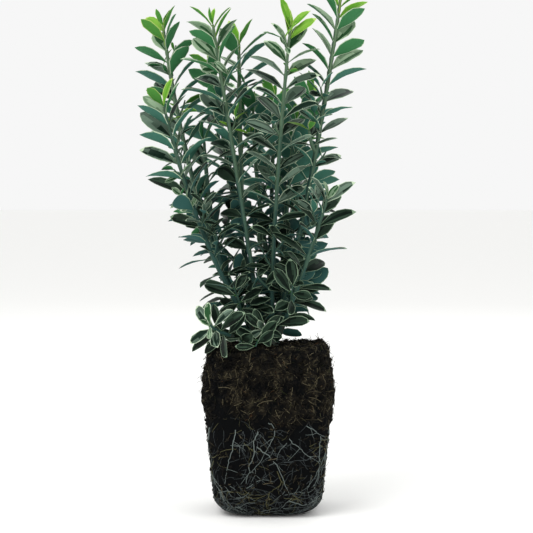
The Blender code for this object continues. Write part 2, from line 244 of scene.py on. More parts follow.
# The two pairs of small leaves round a bud: phase, height over its foot, angle and length.
BUD_PAIRS = ((130, 0.2, 20, 14), (40, 1.0, 12, 9))
BUD_DEPTH = 1.5

# The visible ball: points round it, and the step of its outline in mm on each part of it. Its flat
# foot has no relief, which fades in over the lowest part of the side.
BALL_SEGMENTS = 400
POLE_RADIUS = 0.4
FOOT_STEP, SIDE_STEP, LOOSE_STEP, TOP_STEP = 1.8, 1.15, 0.65, 0.75
FOOT_ARC_STEPS, TOP_ARC_STEPS = 20, 13
FLAT_BELOW, EVEN_BELOW = 0.01, 4

# Where the compost is loose and where it is dry, in mm: the waves of the loose part's edge are pairs
# of height and size.
LOOSE_FROM, LOOSE_FULL = 60, 78
EDGE_WAVES = ((11, 14), (4, 5))
EDGE_SLOPE = 0.12
BARE_STRANDS, LOWEST_STRAND = 0.14, 9
DRY_PATCH, DRY_PATCH_SIZE, DRY_SPECK_SIZE = 0.7, 13, 4.5
DRY_PATCH_SHIFT = Vector((5, 0, 0))
DRY_MIDDLE, DRY_CONTRAST = 0.5, 1.2

# Relief of the compost, as pairs of height and size: its waves and its rounded cells, in mm or as
# shares of the settings.
HUMMOCK_WAVES = ((1.0, 15), (1.0, 5))
CRUMB_CELLS = ((0.5, 4.4), (0.4, 2))
PRESSED_WAVE, PRESSED_CELL, PRESSED_GRAIN = (1, 8), (0.7, 3.4), (0.5, 1.4)
CELL_DEPTH = 2.2
TOP_EROSION, EROSION_REACH = 1.6, 4
CALM_RADIUS, CALM_FADE, CALM_LIFT = 6, 8, 0.5

# Loose fibres and crumbs: how many shapes there are of each, and their size in mm.
PER_SQUARE_CM = 10000
STRAND_KINDS, STRAND_POINTS, STRAND_SIDES = 14, 6, 3
STRAND_LENGTH, STRAND_LENGTHS = 10, (0.35, 1.25)
STRAND_RADIUS, STRAND_RADII = 0.14, (0.7, 1.2)
STRAIGHT_BEND, STRAND_BENDS, STRAND_WAVER = 0.03, (0.08, 0.25), 0.15
STRAND_LIFT, STRAND_LIFT_SHIFT = (0.1, 0.9), 0.3
LUMP_KINDS, LUMP_RADIUS = 8, 0.85
LUMP_RADII, LUMP_FLATNESS = (0.65, 1.3), 0.8
Litter = namedtuple("Litter", "name mask kind share smallest largest tilt colour")
LITTER = (
    # Peat crumbs: dull, from nearly black to a dry brown, so that the surface reads as crumbly.
    Litter("dark_peat_crumbs", "loose", "lumps", 0.6, 0.5, 1.6, 1.2, "#0c0b0a"),
    Litter("peat_crumbs", "dry", "lumps", 0.6, 0.4, 1.4, 1.2, "#1b1914"),
    Litter("dry_peat_crumbs", "dry", "lumps", 0.3, 0.3, 1.1, 1.2, "#302b21"),
    # Coir fibres, old and dry: tan to rust, dull, the driest in the colour that the settings give.
    Litter("dark_coir_fibres", "loose", "strands", 0.8, 0.5, 1.4, 0.4, "#1f1d17"),
    Litter("coir_fibres", "dry", "strands", 0.8, 0.4, 1.3, 0.35, "#413c2f"),
    Litter("dry_coir_fibres", "dry", "strands", 0.4, 0.4, 1.2, 0.3, None),
    Litter("rust_coir_fibres", "dry", "strands", 0.1, 0.4, 1.0, 0.25, "#57381f"),
    # Moss fibres, greener and darker than the coir.
    Litter("moss_fibres", "loose", "strands", 0.1, 0.4, 0.9, 0.4, "#353b20"),
)
LITTER_ROUGHNESS, LITTER_SPECULAR = 0.92, 0.1

# Patterns of the compost: feature size in mm, detail, roughness and distortion of each noise. The
# brown comes in patches of a few mm, and the threads and the grit are drawn coarse enough to show.
COMPOST_ROUGHNESS, COMPOST_SPECULAR = 0.95, 0.05
COMPOST_PATCHES, COMPOST_THREADS, COMPOST_GRIT = (4, 6, 0.65, 0), (3.2, 4, 0.7, 2.4), (1.1, 5, 0.7, 0)
BROWN_FROM, BROWN_FULL = 0.08, 0.6
THREADS_FROM, THREADS_FULL, THREAD_SHARE = 0.45, 0.7, 0.4
GRIT_STRENGTH, GRIT_DEPTH = 0.8, 0.5

# The thick roots that show on the front face: a tint, a radius in mm, and points as x and height.
FRONT_ROOTS = (
    ("pale", 0.45, ((-21.5, 61), (-22.5, 55), (-24, 50.5), (-24, 46.5), (-26.5, 40), (-27.5, 32.5),
                    (-29, 24), (-30, 21.5))),
    ("grey", 0.32, ((-16.5, 60), (-15.5, 56), (-17.5, 51), (-16, 44), (-13, 37))),
    ("grey", 0.28, ((-17.5, 51), (-19.5, 47.5))),
    ("ochre", 0.3, ((-16, 52), (-13, 49), (-10.5, 46.5))),
    ("pale", 0.5, ((-7.5, 61), (-7.5, 57.5), (-9.5, 53.5), (-9.5, 49), (-9, 45), (-11, 39.5),
                    (-12.5, 36.5), (-12.5, 32.5), (-14, 28.5), (-15, 23))),
    ("grey", 0.32, ((-15, 34), (-17, 28.5), (-18, 27.5))),
    ("grey", 0.34, ((-5, 58), (-5, 55.5), (-9.5, 53.5))),
    ("grey", 0.34, ((-7, 53), (-7, 49.5), (-8.5, 45.5), (-7, 42), (-3.5, 37), (-1.5, 31))),
    ("pale", 0.38, ((0, 65.5), (2.5, 65), (4.5, 60.5), (4, 56.5), (1, 50.5), (-1.5, 46.5), (-6, 38),
                    (-12, 31.5))),
    ("grey", 0.28, ((4.5, 60.5), (9.5, 60.5))),
    ("pale", 0.46, ((-7.5, 49.5), (-3.5, 45.5), (0.5, 43.5), (2, 41), (6, 37.5), (8, 32.5),
                    (10.5, 26), (14.5, 16.5))),
    ("grey", 0.28, ((0, 45.5), (5, 45), (11, 42.5))),
    ("pale", 0.36, ((14, 55.5), (16.5, 52), (21.5, 48.5), (25.5, 44), (29, 42), (34, 38))),
    ("grey", 0.26, ((15, 51.5), (15, 47.5))),
    ("pale", 0.36, ((25.5, 63.5), (30, 61.5), (34, 57.5), (38.5, 55))),
    ("grey", 0.32, ((27, 67), (28, 64), (33, 58), (38.5, 55))),
    ("pale", 0.5, ((35.5, 56), (34.5, 51), (34.5, 46.5), (34.5, 39.5), (34.5, 35), (34, 27.5), (34, 23))),
    ("grey", 0.34, ((40, 54.5), (39.5, 51), (36.5, 46.5), (34.5, 45.5))),
    ("grey", 0.3, ((10.5, 38.5), (17.5, 40), (24.5, 40), (30, 42.5), (34, 45.5))),
    ("ochre", 0.36, ((6, 32.5), (7.5, 30), (9, 25.5), (8, 23), (3.5, 20), (1, 18.5))),
    ("grey", 0.3, ((-11.5, 21.5), (-6, 20.5), (0.5, 18.5), (6, 15))),
    ("ochre", 0.34, ((-26.5, 18.5), (-21.5, 18.5), (-15.5, 16.5), (-10, 14), (-4.5, 15), (0.5, 17.5))),
    ("grey", 0.3, ((-11.5, 22), (-3.5, 27.5), (4, 33))),
    ("ochre", 0.3, ((1, 17.5), (-0.5, 13.5), (-1.5, 9.5), (0.5, 6))),
    ("grey", 0.28, ((2, 16.5), (6, 12), (9.5, 9.5))),
    ("ochre", 0.32, ((16.5, 16.5), (20, 13.5), (23, 10.5))),
    ("pale", 0.34, ((14.5, 12), (20, 10.5), (24, 9), (29, 10.5), (33, 15))),
    ("pale", 0.34, ((-37.5, 27.5), (-35, 24), (-31, 20.5), (-32, 15), (-32, 11.5))),
)
FRONT_ROOT_GIRTH = 0.82
# Living roots: a smooth, faintly waxy skin, ivory to blue-grey when young and ochre when old. For
# each tint, the name of its material and its roughness.
ROOT_TINTS = {"pale": ("young_root", 0.55), "grey": ("fine_root", 0.65), "ochre": ("old_root", 0.65)}
# Short side roots along each thick root on the front.
ROOTLETS, ROOTLET_REACH, ROOTLET_RADIUS = 3, (4, 14), 0.17
ROOTLET_LEAN, ROOTLET_BEND = (20, 75), 0.25

# Roots that the rule draws: long ones down the other sides, and all round fine ones anywhere and the
# mat at the foot. Each growth starts between two heights and heads one way, give or take a spread in
# degrees. It bends at each step by an angle in radians. Lengths are in mm. The azimuths where it may
# start, in spans of degrees, leave the front out or take in all of the ball.
Growth = namedtuple("Growth", "tint count low high reach radius way spread bend forks near_corners")
DOWN, LEVEL, HALF_TURN = 270, 0, 180
SIDE_GROWTHS = (
    Growth("pale", 20, 44, 66, (24, 48), 0.44, DOWN, 24, 0.2, 2, False),
    Growth("grey", 34, 30, 66, (18, 42), 0.32, DOWN, 45, 0.26, 1, False),
    Growth("ochre", 16, 24, 62, (12, 32), 0.32, DOWN, 70, 0.24, 1, False),
)
ALL_ROUND_GROWTHS = (
    Growth("pale", 26, 18, 62, (10, 26), 0.18, DOWN, 40, 0.24, 1, False),
    Growth("grey", 230, 6, 62, (5, 20), 0.18, DOWN, 90, 0.26, 0, False),
    Growth("ochre", 60, 8, 74, (4, 13), 0.16, DOWN, 110, 0.3, 0, False),
    Growth("grey", 170, 2, 24, (10, 24), 0.22, LEVEL, 50, 0.24, 0, True),
    Growth("pale", 80, 3, 24, (10, 22), 0.2, LEVEL, 60, 0.24, 0, True),
    Growth("grey", 110, 1.5, 12, (10, 28), 0.2, LEVEL, 28, 0.2, 0, False),
    Growth("pale", 34, 1.5, 8, (10, 24), 0.18, LEVEL, 20, 0.2, 0, False),
    Growth("ochre", 44, 2, 20, (8, 18), 0.18, LEVEL, 44, 0.26, 0, False),
)
OTHER_FACES, ALL_ROUND = ((-45, 225),), ((0, 360),)
FIRST_CORNER, CORNER_SPREAD = 45, 15
ROOT_STEP, ROOT_SINK, ROOT_WAVER, ROOT_TAPER = 1.6, 0.35, 0.2, 0.55
ROOT_RADII, LOWEST_ROOT = (0.75, 1.2), 1.2
FORK_LEAN, FORK_REACH, FORK_GIRTH = (22, 60), (0.3, 0.6), 0.7

# Bare and leafy stems: points round them, and steps along them, how deep a bare one stands in the
# woody crown and how far it runs into the leafy one, all in mm. Beside the CAD's even taper a stem
# keeps its thickness, and thins just under its tip.
BARK_SIDES, BARK_STEP = 12, 1.4
STEM_SIDES, STEM_STEP = 8, 2.4
BARK_DEPTH, BARK_OVERLAP = 2.0, 0.5
JOINT_REACH = 1.3
GIRTH_GAIN, TIP_THINNING, TIP_THINNING_POWER = 0.9, 0.35, 8
SKIN_UNEVENNESS, SKIN_GRAIN = 0.07, 0.9
# The woody crown. Its furrows are sums of noise: a share of the depth, how many there are round it,
# and how fast they change upwards.
CROWN_SIDES, CROWN_STEPS = 64, 14
CROWN_DEPTH, CROWN_FLARE = 1.2, 0.4
FURROWS = ((1, 3.2, 0.12), (0.5, 8, 0.35))
FURROWS_FULL_AT = 3
# Lines along the bark, 0.9 mm wide so that they show, and six times as long.
BARK_LINE, BARK_LINE_DETAIL, BARK_STRETCH = 0.9, 4, 0.16
BARK_LINES_FROM, BARK_LINES_FULL = 0.35, 0.62
BARK_STRENGTH, BARK_RELIEF = 0.5, 0.2
BARK_ROUGHNESS, SKIN_ROUGHNESS, SKIN_SPECULAR = 0.7, 0.6, 0.1
# The tints of the stems' skin, from the foot up, the last one for the growing tips.
STEM_TINTS, TINT_POWER, TINT_START, STRIPE_TINTS = 6, 1.4, 0.3, 1.2

# A leaf's outline: how far along it each row of points stands, and half its width there.
LEAF_ROWS = (
    (0.0, 0.06), (0.10, 0.16), (0.24, 0.50), (0.42, 0.88), (0.60, 1.0), (0.78, 0.86), (0.91, 0.53),
)
ROUND_LEAF_ROWS = (
    (0.0, 0.06), (0.12, 0.16), (0.28, 0.50), (0.46, 0.86), (0.64, 1.0), (0.81, 0.86), (0.94, 0.50),
)
SMALL_LEAF_ROWS = ((0.0, 0.07), (0.25, 0.50), (0.52, 1.0), (0.80, 0.76))
SMALL_LEAF, ROUND_BELOW, YOUNG_SLIMNESS = 11, 155, 0.74
LEAF_SEED = 61
# Each row is a ring: eight points over the upper side and three back under it.
ROW_POINTS, UPPER_POINTS = 11, 8

# How leaves differ from one to the next: ranges of factors of the settings, of shares of the
# half-width, of radians or of mm.
MARGINS, MARGIN_WAVER, FULL_MARGIN_AT, LEAST_CENTRE = (0.7, 1.35), (0.75, 1.3), 30, 0.55
RECURVES, RECURVE_POWER, RECURVE_SHORTENING = (0.5, 1.5), 2.4, 0.06
FOLDS, FOLD_AT_RIB, FOLD_FLATTENING = (0.5, 1.4), 1.25, 0.45
SWEEP, TWIST, TWIST_LEAN = 0.05, 0.35, 0.4
WAVE_PHASE, WAVE_HEIGHTS, WAVES, WAVE_SHIFT = 6.3, (0.1, 0.45), 9, 1.7
TEETH, NOTCH, TOOTHED_FROM, FULL_TEETH_AT = (0.3, 1), -0.6, 0.35, 20
OUTER_STREAK, INNER_STREAK, VEIN = (0.55, 0.8), (0.2, 0.4), (0.35, 0.6)
LEAF_BODY, BODY_TAPER, BODY_AT_RIM = 0.32, 0.5, 0.6

# The ages of a leaf, each with the settings of its margin and its underside. Age grows with height
# in the crown and near a growing tip, low down only where the leaf stands out in the light. The
# height stands partly for real age and partly for light: the older colours low in the crown are
# darker partly as painted shade, and the paler ones higher up and out in the light are partly
# painted light.
Age = namedtuple("Age", "name margin underside")
AGES = (
    Age("old", "old_cream", "old_underside"), Age("grown", "cream", "underside"),
    Age("fresh", "cream", "fresh_underside"), Age("young", "young_cream", "young_underside"),
)
AGE_LIMITS = (0.32, 0.62, 0.84)
YOUNG = len(AGE_LIMITS)
AGE_AND_PAINTED_SHADE_BY_HEIGHT, AGE_JITTER = 0.85, 0.06
FRESH_FROM = 170
YOUNG_TIP, YOUNG_TIP_POWER = 0.42, 18
LOW_TIP, LOW_TIP_POWER = 0.66, 4
LIT_REACH = 52

# The colours of a leaf's faces, in the order of its finishes.
CENTRE, STREAK, DULL_STREAK, EDGE, UNDER, STALK = range(6)
PART_NAMES = ("centre", "streak", "dull_streak", "margin", "underside", "stalk")
STALK_GREEN = 0.35
LEAF_ROUGHNESS, UNDERSIDE_ROUGHNESS, LEAF_SPECULAR = 0.5, 0.65, 0.08
# What each column of faces round the ring is, where an upper one takes its colour from the rule.
RING_PARTS = (
    EDGE, "outer left", "middle left", "inner left", "inner right", "outer right", EDGE,
    EDGE, UNDER, UNDER, EDGE,
)
# For each of those, how pale it starts, of 0 for the dark centre to 2 for a streak, in a streaky leaf
# and in a plain one. The streaks run along the leaf and fade by one step at a time.
STREAK_STARTS = {
    "outer left": (2.6, 0.8), "middle left": (0.9, 0.1), "inner left": (2.0, 0.4),
    "inner right": (0.7, 0.1), "outer right": (2.4, 0.6),
}
STREAK_STEPS = (CENTRE, DULL_STREAK, STREAK)
STEP_CHANCE = 0.4
STREAKINESS, LOW_STREAKS = (0.15, 0.35, 0.55, 0.85), 0.25
CREAM_TIP_CHANCE = 0.5

# The stage. The camera stands so that a picture of this many pixels has this scale, with the plant's
# axis in its column and the horizon in its row. Each light has a place and a size, in m, and the
# setting of its power.
FLOOR_REACH, FLOOR_ROUGHNESS = 30, 0.9
PIXEL_MM = 0.69
PICTURE_SIDE = 533
AXIS_COLUMN = 268
HORIZON_ROW = 199
SENSOR = 36
LIT_POINT = Vector((0, 0, 0.22))
LIGHTS = (
    ("key_light", (-0.7, -0.9, 1.5), 1.1, "key"),
    ("fill_light", (1.2, -0.7, 0.8), 1.2, "fill"),
    ("back_light", (0.3, 1.3, 1.2), 1.2, "fill"),
)


def linear(hex_colour):
    """The linear colour of an sRGB hex value such as "#1b1a15"."""
    shares = [int(hex_colour[i : i + 2], 16) / 255 for i in (1, 3, 5)]
    return tuple(s / 12.92 if s <= 0.04045 else ((s + 0.055) / 1.055) ** 2.4 for s in shares)


def size_setting(name, millimetres, description):
    """A length that a user can change."""
    return bpy.props.FloatProperty(
        name=name, description=description, default=millimetres * MM, min=0, precision=5, unit="LENGTH"
    )


def colour_setting(name, hex_colour, description):
    """A colour that a user can change."""
    return bpy.props.FloatVectorProperty(
        name=name, description=description, default=linear(hex_colour), size=3, min=0, max=1,
        subtype="COLOR",
    )


def share_setting(name, share, description):
    """A share from 0 to 1 that a user can change."""
    return bpy.props.FloatProperty(
        name=name, description=description, default=share, min=0, max=1, subtype="FACTOR"
    )


def count_setting(name, count, description):
    """A whole number that a user can change."""
    return bpy.props.IntProperty(name=name, description=description, default=count, min=0)


class RootBallSettings(bpy.types.PropertyGroup):
    """Sizes and colours of the compost and the roots in it."""

    hummocks: size_setting("Hummocks", 2.2, "Height of the broad lumps in the loose upper compost")
    crumbs: size_setting("Crumbs", 1.6, "Height of the crumbs in the loose upper compost")
    pressed: size_setting("Pressed relief", 0.6, "Height of the relief where the pot pressed the compost")
    strands: count_setting("Strands", 17, "Loose fibres to a square centimetre of the upper compost")
    lumps: count_setting("Lumps", 30, "Loose crumbs to a square centimetre of the upper compost")
    root_sides: count_setting("Root sides", 5, "Sides of a root's cross-section")
    dark: colour_setting("Dark compost", "#08090a", "Moist compost, almost black")
    brown: colour_setting("Brown compost", "#231f18", "Drier, fibrous compost")
    fibre: colour_setting("Fibre", "#6d6650", "Dry fibres of coir and moss")
    pale_root: colour_setting("Pale root", "#626c69", "The thick young roots")
    grey_root: colour_setting("Grey root", "#323839", "The fine roots")
    ochre_root: colour_setting("Ochre root", "#4b4a30", "The older roots")


class BarkSettings(bpy.types.PropertyGroup):
    """Relief and colours of the woody crown, the stems and the twigs."""

    furrows: size_setting("Furrows", 0.45, "Depth of the furrows in the bark of the woody crown")
    ridges: share_setting("Ridges", 0.10, "How far the four corners of a stem stand out, of its radius")
    girth: bpy.props.FloatProperty(
        name="Girth", description="How thick the stems are, beside the CAD stems", default=0.98, min=0.5
    )
    joints: share_setting("Joints", 0.38, "How much a stem swells where a pair of leaves stands")
    old: colour_setting("Old bark", "#4a453a", "Grey-brown bark of the woody crown")
    low: colour_setting("Low stem", "#2e4b45", "Dark grey-green skin low on a stem")
    high: colour_setting("High stem", "#657d60", "Pale grey-green skin high on a stem")
    tip: colour_setting("Growing tip", "#7d9a4a", "Fresh green skin at a growing tip")


class LeafSettings(bpy.types.PropertyGroup):
    """Shape and colours of the leaves."""

    margin: size_setting("Margin", 0.5, "Width of the cream margin")
    recurve: share_setting("Recurve", 0.16, "How far a leaf's tip bends down, of its length")
    fold: share_setting("Fold", 0.34, "How steeply the two halves of a leaf stand up from the midrib")
    teeth: size_setting("Teeth", 0.22, "Depth of the teeth along the outer half of a leaf")
    # The old colours, low in the crown, are darker partly as painted shade, and the grown and fresh ones
    # higher up are paler partly as painted light.
    old_centre: colour_setting("Old centre", "#0c1912", "Blue-green centre of an old leaf")
    old_streak: colour_setting("Old streak", "#2f4234", "Grey-green streaks in an old leaf")
    grown_centre: colour_setting("Grown centre", "#10251b", "Green centre of a grown leaf")
    grown_streak: colour_setting("Grown streak", "#667b6b", "Silvery streaks in a grown leaf")
    fresh_centre: colour_setting("Fresh centre", "#234a29", "Fresh green centre of a leaf near a tip")
    fresh_streak: colour_setting("Fresh streak", "#8aa285", "Paler streaks in a leaf near a tip")
    young_centre: colour_setting("Young centre", "#5a9428", "Yellow-green of the youngest leaves")
    young_streak: colour_setting("Young streak", "#78a83c", "Paler yellow-green of the youngest leaves")
    cream: colour_setting("Cream margin", "#bdcfb2", "Cream margin of a grown leaf")
    old_cream: colour_setting("Old margin", "#859c80", "Greyed margin of an old leaf")
    young_cream: colour_setting("Young margin", "#a9c46a", "Yellow margin of a young leaf")
    old_underside: colour_setting("Old underside", "#335a55", "Matt underside of an old leaf")
    underside: colour_setting("Underside", "#3e6d5e", "Paler matt underside of a grown leaf")
    fresh_underside: colour_setting("Fresh underside", "#3d784c", "Underside of a leaf near a tip")
    young_underside: colour_setting("Young underside", "#4d8a3c", "Underside of a young leaf")


class StageSettings(bpy.types.PropertyGroup):
    """Floor, light and camera."""

    floor: colour_setting("Floor", "#fcfcfa", "Pale matt floor")
    sky: bpy.props.FloatProperty(
        name="Sky", description="Strength of the even light from all sides", default=0.93, min=0
    )
    key: bpy.props.FloatProperty(
        name="Key light", description="Power of the large soft light", default=14, min=0, unit="POWER"
    )
    fill: bpy.props.FloatProperty(
        name="Fill light", description="Power of the soft light on the other side", default=3.5, min=0,
        unit="POWER",
    )
    camera_distance: size_setting("Camera distance", 1100, "From the plant's axis to the camera")
    camera_height: size_setting("Camera height", 215, "Height of the camera over the floor")


def heading(azimuth):
    """The level unit vector at this azimuth, in degrees from +X towards +Y."""
    return Vector((math.cos(math.radians(azimuth)), math.sin(math.radians(azimuth)), 0))


class Route:
    """The centre line of a limb, a bend through one knee, read by the distance along it in mm."""

    def __init__(self, start, knee, tip):
        shares = [step / ROUTE_STEPS for step in range(ROUTE_STEPS + 1)]
        self.points = [
            start * (1 - t) ** 2 + knee * (2 * t * (1 - t)) + tip * t**2 for t in shares
        ]
        self.reached = [0.0]
        for a, b in pairwise(self.points):
            self.reached.append(self.reached[-1] + (b - a).length)
        self.length = self.reached[-1]

    def at(self, distance):
        """The point at this distance, and the way the limb runs there."""
        last = len(self.points) - 2
        index = next((i for i in range(last) if self.reached[i + 1] > distance), last)
        a, b = self.points[index], self.points[index + 1]
        share = (distance - self.reached[index]) / (b - a).length
        return a.lerp(b, share), (b - a).normalized()


def crown_head_centre():
    """The middle of the domed head of the woody crown."""
    return UP * (BALL_TOP + GAP + CROWN_HEAD_HEIGHT)


def shoot_route(shoot):
    """The centre line of a main shoot. Its foot clears the crown's head all round."""
    polar = math.radians(shoot.foot_polar)
    normal = heading(shoot.foot_azimuth) * math.sin(polar) + UP * math.cos(polar)
    knee = heading(shoot.lean) * shoot.knee_out + UP * shoot.knee_up
    tip = heading(shoot.lean) * shoot.tip_out + UP * shoot.tip_up
    surface = crown_head_centre() + normal * CROWN_HEAD_RADIUS
    tilt = normal.angle(knee - surface)
    start = surface + normal * (GAP + STEM_FOOT_RADIUS * math.sin(tilt))
    return Route(start, knee, tip)


def twig_route(main, bare, twig):
    """The centre line of a side twig, which starts inside the main stem and turns upwards."""
    start, _ = main.at(bare + twig.start * (main.length - bare))
    out = heading(twig.azimuth) * twig.out
    knee = start + out * TWIG_KNEE_OUT + UP * (twig.rise * TWIG_KNEE_RISE)
    return Route(start, knee, start + out + UP * twig.rise)


def limb_radius(limb, distance):
    """The radius of a stem at this distance along it."""
    return limb.foot_radius + (limb.tip_radius - limb.foot_radius) * distance / limb.route.length


def square_axes(along, across):
    """Two unit vectors square to a limb and to each other."""
    first = (across - along * across.dot(along)).normalized()
    return first, along.cross(first)


def stacked(rings):
    """Points and faces of a closed skin over rings of equal size, listed from one end to the other."""
    count = len(rings[0])
    points = [point for ring in rings for point in ring]
    faces = [tuple(reversed(range(count))), tuple(range(len(points) - count, len(points)))]
    for level in range(len(rings) - 1):
        low, high = level * count, (level + 1) * count
        for i in range(count):
            j = (i + 1) % count
            faces.append((low + i, low + j, high + j, high + i))
    return points, faces


def plain_limb(limb, start, end, sides):
    """The CAD's simple limb, which the leaves are kept clear of."""
    steps = max(2, math.ceil((end - start) / RING_STEP))
    rings = []
    for step in range(steps + 1):
        distance = start + (end - start) * step / steps
        centre, along = limb.route.at(distance)
        first, second = square_axes(along, limb.across)
        radius = limb_radius(limb, distance)
        turns = [2 * math.pi * side / sides for side in range(sides)]
        rings.append([centre + (first * math.cos(t) + second * math.sin(t)) * radius for t in turns])
    return stacked(rings)


def plain_leaf(length, width, margin=0):
    """The CAD's simple leaf, with some room round it, which tests whether a leaf has space."""
    length += margin
    width += 2 * margin

    def rim_point(at, half_width):
        side = half_width * width
        return Vector((at * length, side, abs(side) * LEAF_FOLD - LEAF_DROOP * length * at**2))

    near, far = LEAF_STATIONS
    rim = [
        rim_point(0, 0), rim_point(near[0], -near[1]), rim_point(far[0], -far[1]),
        rim_point(1, 0), rim_point(*far), rim_point(*near),
    ]
    crown = rim_point(LEAF_CROWN_AT, 0)
    points = [*rim, crown + UP * margin, crown - UP * (LEAF_THICKNESS + margin)]
    faces = []
    for i in range(len(rim)):
        j = (i + 1) % len(rim)
        faces += [(i, j, len(rim)), (j, i, len(rim) + 1)]
    return points, faces


def leaf_frame(limb, distance, turn, angle, roll):
    """The placing of a leaf: its root inside the stem, its face turned to the tip and the light."""
    centre, along = limb.route.at(distance)
    first, _ = square_axes(along, limb.across)
    out = Matrix.Rotation(math.radians(turn), 3, along) @ first
    forward = out * math.sin(math.radians(angle)) + along * math.cos(math.radians(angle))
    light = along + Vector((centre.x, centre.y, 0)).normalized() * LIGHT_TURN
    over = (light - forward * light.dot(forward)).normalized()
    over = Matrix.Rotation(math.radians(roll), 3, forward) @ over
    side = over.cross(forward)
    placing = Matrix((forward, side, over)).transposed().to_4x4()
    placing.translation = centre - out * (limb_radius(limb, distance) * LEAF_ROOT_DEPTH)
    return placing


def openness(internode):
    """How far a shoot opens into a rosette, from 0 to 1 where its pairs stand close together."""
    return min(1, max(0, ROSETTE_GAIN * (1 - internode / INTERNODE)))


def pair_turn(internode):
    """How far each second pair is turned from the first: a fan, or a cross in a rosette."""
    return PAIR_TURN + (90 - PAIR_TURN) * openness(internode)


def leaf_angle(share, internode):
    """The angle of a leaf to its stem: level at the foot, then rising, and upright at the tip."""
    opened = openness(internode)
    middle = MIDDLE_LEAF_ANGLE + (ROSETTE_ANGLE - MIDDLE_LEAF_ANGLE) * opened
    tip = TIP_LEAF_ANGLE + (ROSETTE_ANGLE - TIP_LEAF_ANGLE) * opened
    risen = (middle - LOW_LEAF_ANGLE) * min(1, share / RISEN_AT)
    return LOW_LEAF_ANGLE + risen + (tip - middle) * share**TIP_ANGLE_POWER


def leaf_length(share):
    """Leaves are a little shorter at the foot of a shoot, and much shorter at its growing tip."""
    lower = min(1, LOW_LEAF_SIZE + (1 - LOW_LEAF_SIZE) * share / FULL_SIZE_AT)
    return LEAF_LENGTH * lower * (1 - (1 - TIP_LEAF_SIZE) * share**TIP_SIZE_POWER)


def width_ratio(share, internode):
    """A leaf's width for its length: broader near a growing tip, but not in a rosette."""
    broader = (TIP_LEAF_WIDTH_RATIO - LEAF_WIDTH_RATIO) * share**TIP_WIDTH_POWER
    return LEAF_WIDTH_RATIO + broader * (1 - openness(internode))


def crowded_size(internode):
    """A stem whose pairs stand close together carries smaller leaves."""
    return (internode / INTERNODE) ** CROWDED_SIZE_POWER


def node_distances(start, length, internode):
    """Where the leaf pairs stand along a stem: evenly, but closer together at its foot and its tip."""
    distance = start
    while distance < length:
        yield distance
        share = distance / length
        low = min(1, FOOT_CROWDING + (1 - FOOT_CROWDING) * share / EVEN_FROM)
        distance += internode * low * (1 - TIP_CROWDING * share**CROWDING_POWER)


class Space:
    """What is already built, so that a leaf can be kept clear of it."""

    def __init__(self):
        self.items = []

    def add(self, owner, points, faces):
        centre = sum(points, Vector()) / len(points)
        radius = max((point - centre).length for point in points)
        self.items.append((owner, centre, radius, BVHTree.FromPolygons(points, faces)))

    def is_free(self, points, faces, ignored):
        """Whether this shape touches nothing but what the ignored owners hold."""
        centre = sum(points, Vector()) / len(points)
        reach = max((point - centre).length for point in points)
        tree = BVHTree.FromPolygons(points, faces)
        return not any(
            (centre - other).length < reach + radius and tree.overlap(other_tree)
            for owner, other, radius, other_tree in self.items
            if owner not in ignored
        )


def place_leaf(space, limb, distance, turn, angle, roll, size, ratio, ignored, clearance=LEAF_CLEARANCE):
    """The first placing of a leaf that touches nothing, with its simple shape, or None."""
    share = distance / limb.route.length
    for more_turn, more_angle, scale in ADJUSTMENTS:
        placing = leaf_frame(limb, distance, turn + more_turn, angle + more_angle, roll)
        length = size * scale
        width = length * ratio
        wide, faces = plain_leaf(length, width, clearance)
        if space.is_free([placing @ point for point in wide], faces, ignored):
            points, faces = plain_leaf(length, width)
            shape = ([placing @ point for point in points], faces)
            return Leaf(limb.place, placing, length, width, share), shape
    return None


def grow_leaves(
    space, owner, limb, phase, internode, rng,
    scale=1, clearance=LEAF_CLEARANCE, near=(), rolls=ROLL_JITTER,
):
    """The crossed pairs of leaves along one stem. Returns them, and the axils that a shoot can use."""
    leaves, axils = [], []
    for index, distance in enumerate(limb.nodes):
        share = distance / limb.route.length
        ratio = width_ratio(share, internode)
        node = f"{owner} pair {index}"
        ignored = {owner, node, *near}
        pair = []
        for side in (0, 180):
            turn = phase + pair_turn(internode) * (index % 2) + side
            turn += rng.uniform(-TURN_JITTER, TURN_JITTER)
            angle = leaf_angle(share, internode) + rng.uniform(-ANGLE_JITTER, ANGLE_JITTER)
            roll = rng.uniform(-rolls, rolls)
            size = leaf_length(share) * rng.uniform(*SIZE_RANGE) * crowded_size(internode) * scale
            found = place_leaf(space, limb, distance, turn, angle, roll, size, ratio, ignored, clearance)
            if found:
                pair.append(found)
            axils.append((limb, distance, turn, owner, node))
        for _, shape in pair:
            space.add(node, *shape)
        leaves += [leaf for leaf, _ in pair]
    return leaves, axils


def is_crowded(limb):
    """Whether the leaf pairs of a stem stand too close together for side shoots."""
    return len(limb.nodes) < 2 or limb.nodes[1] - limb.nodes[0] < INTERNODE * CROWDED_BELOW


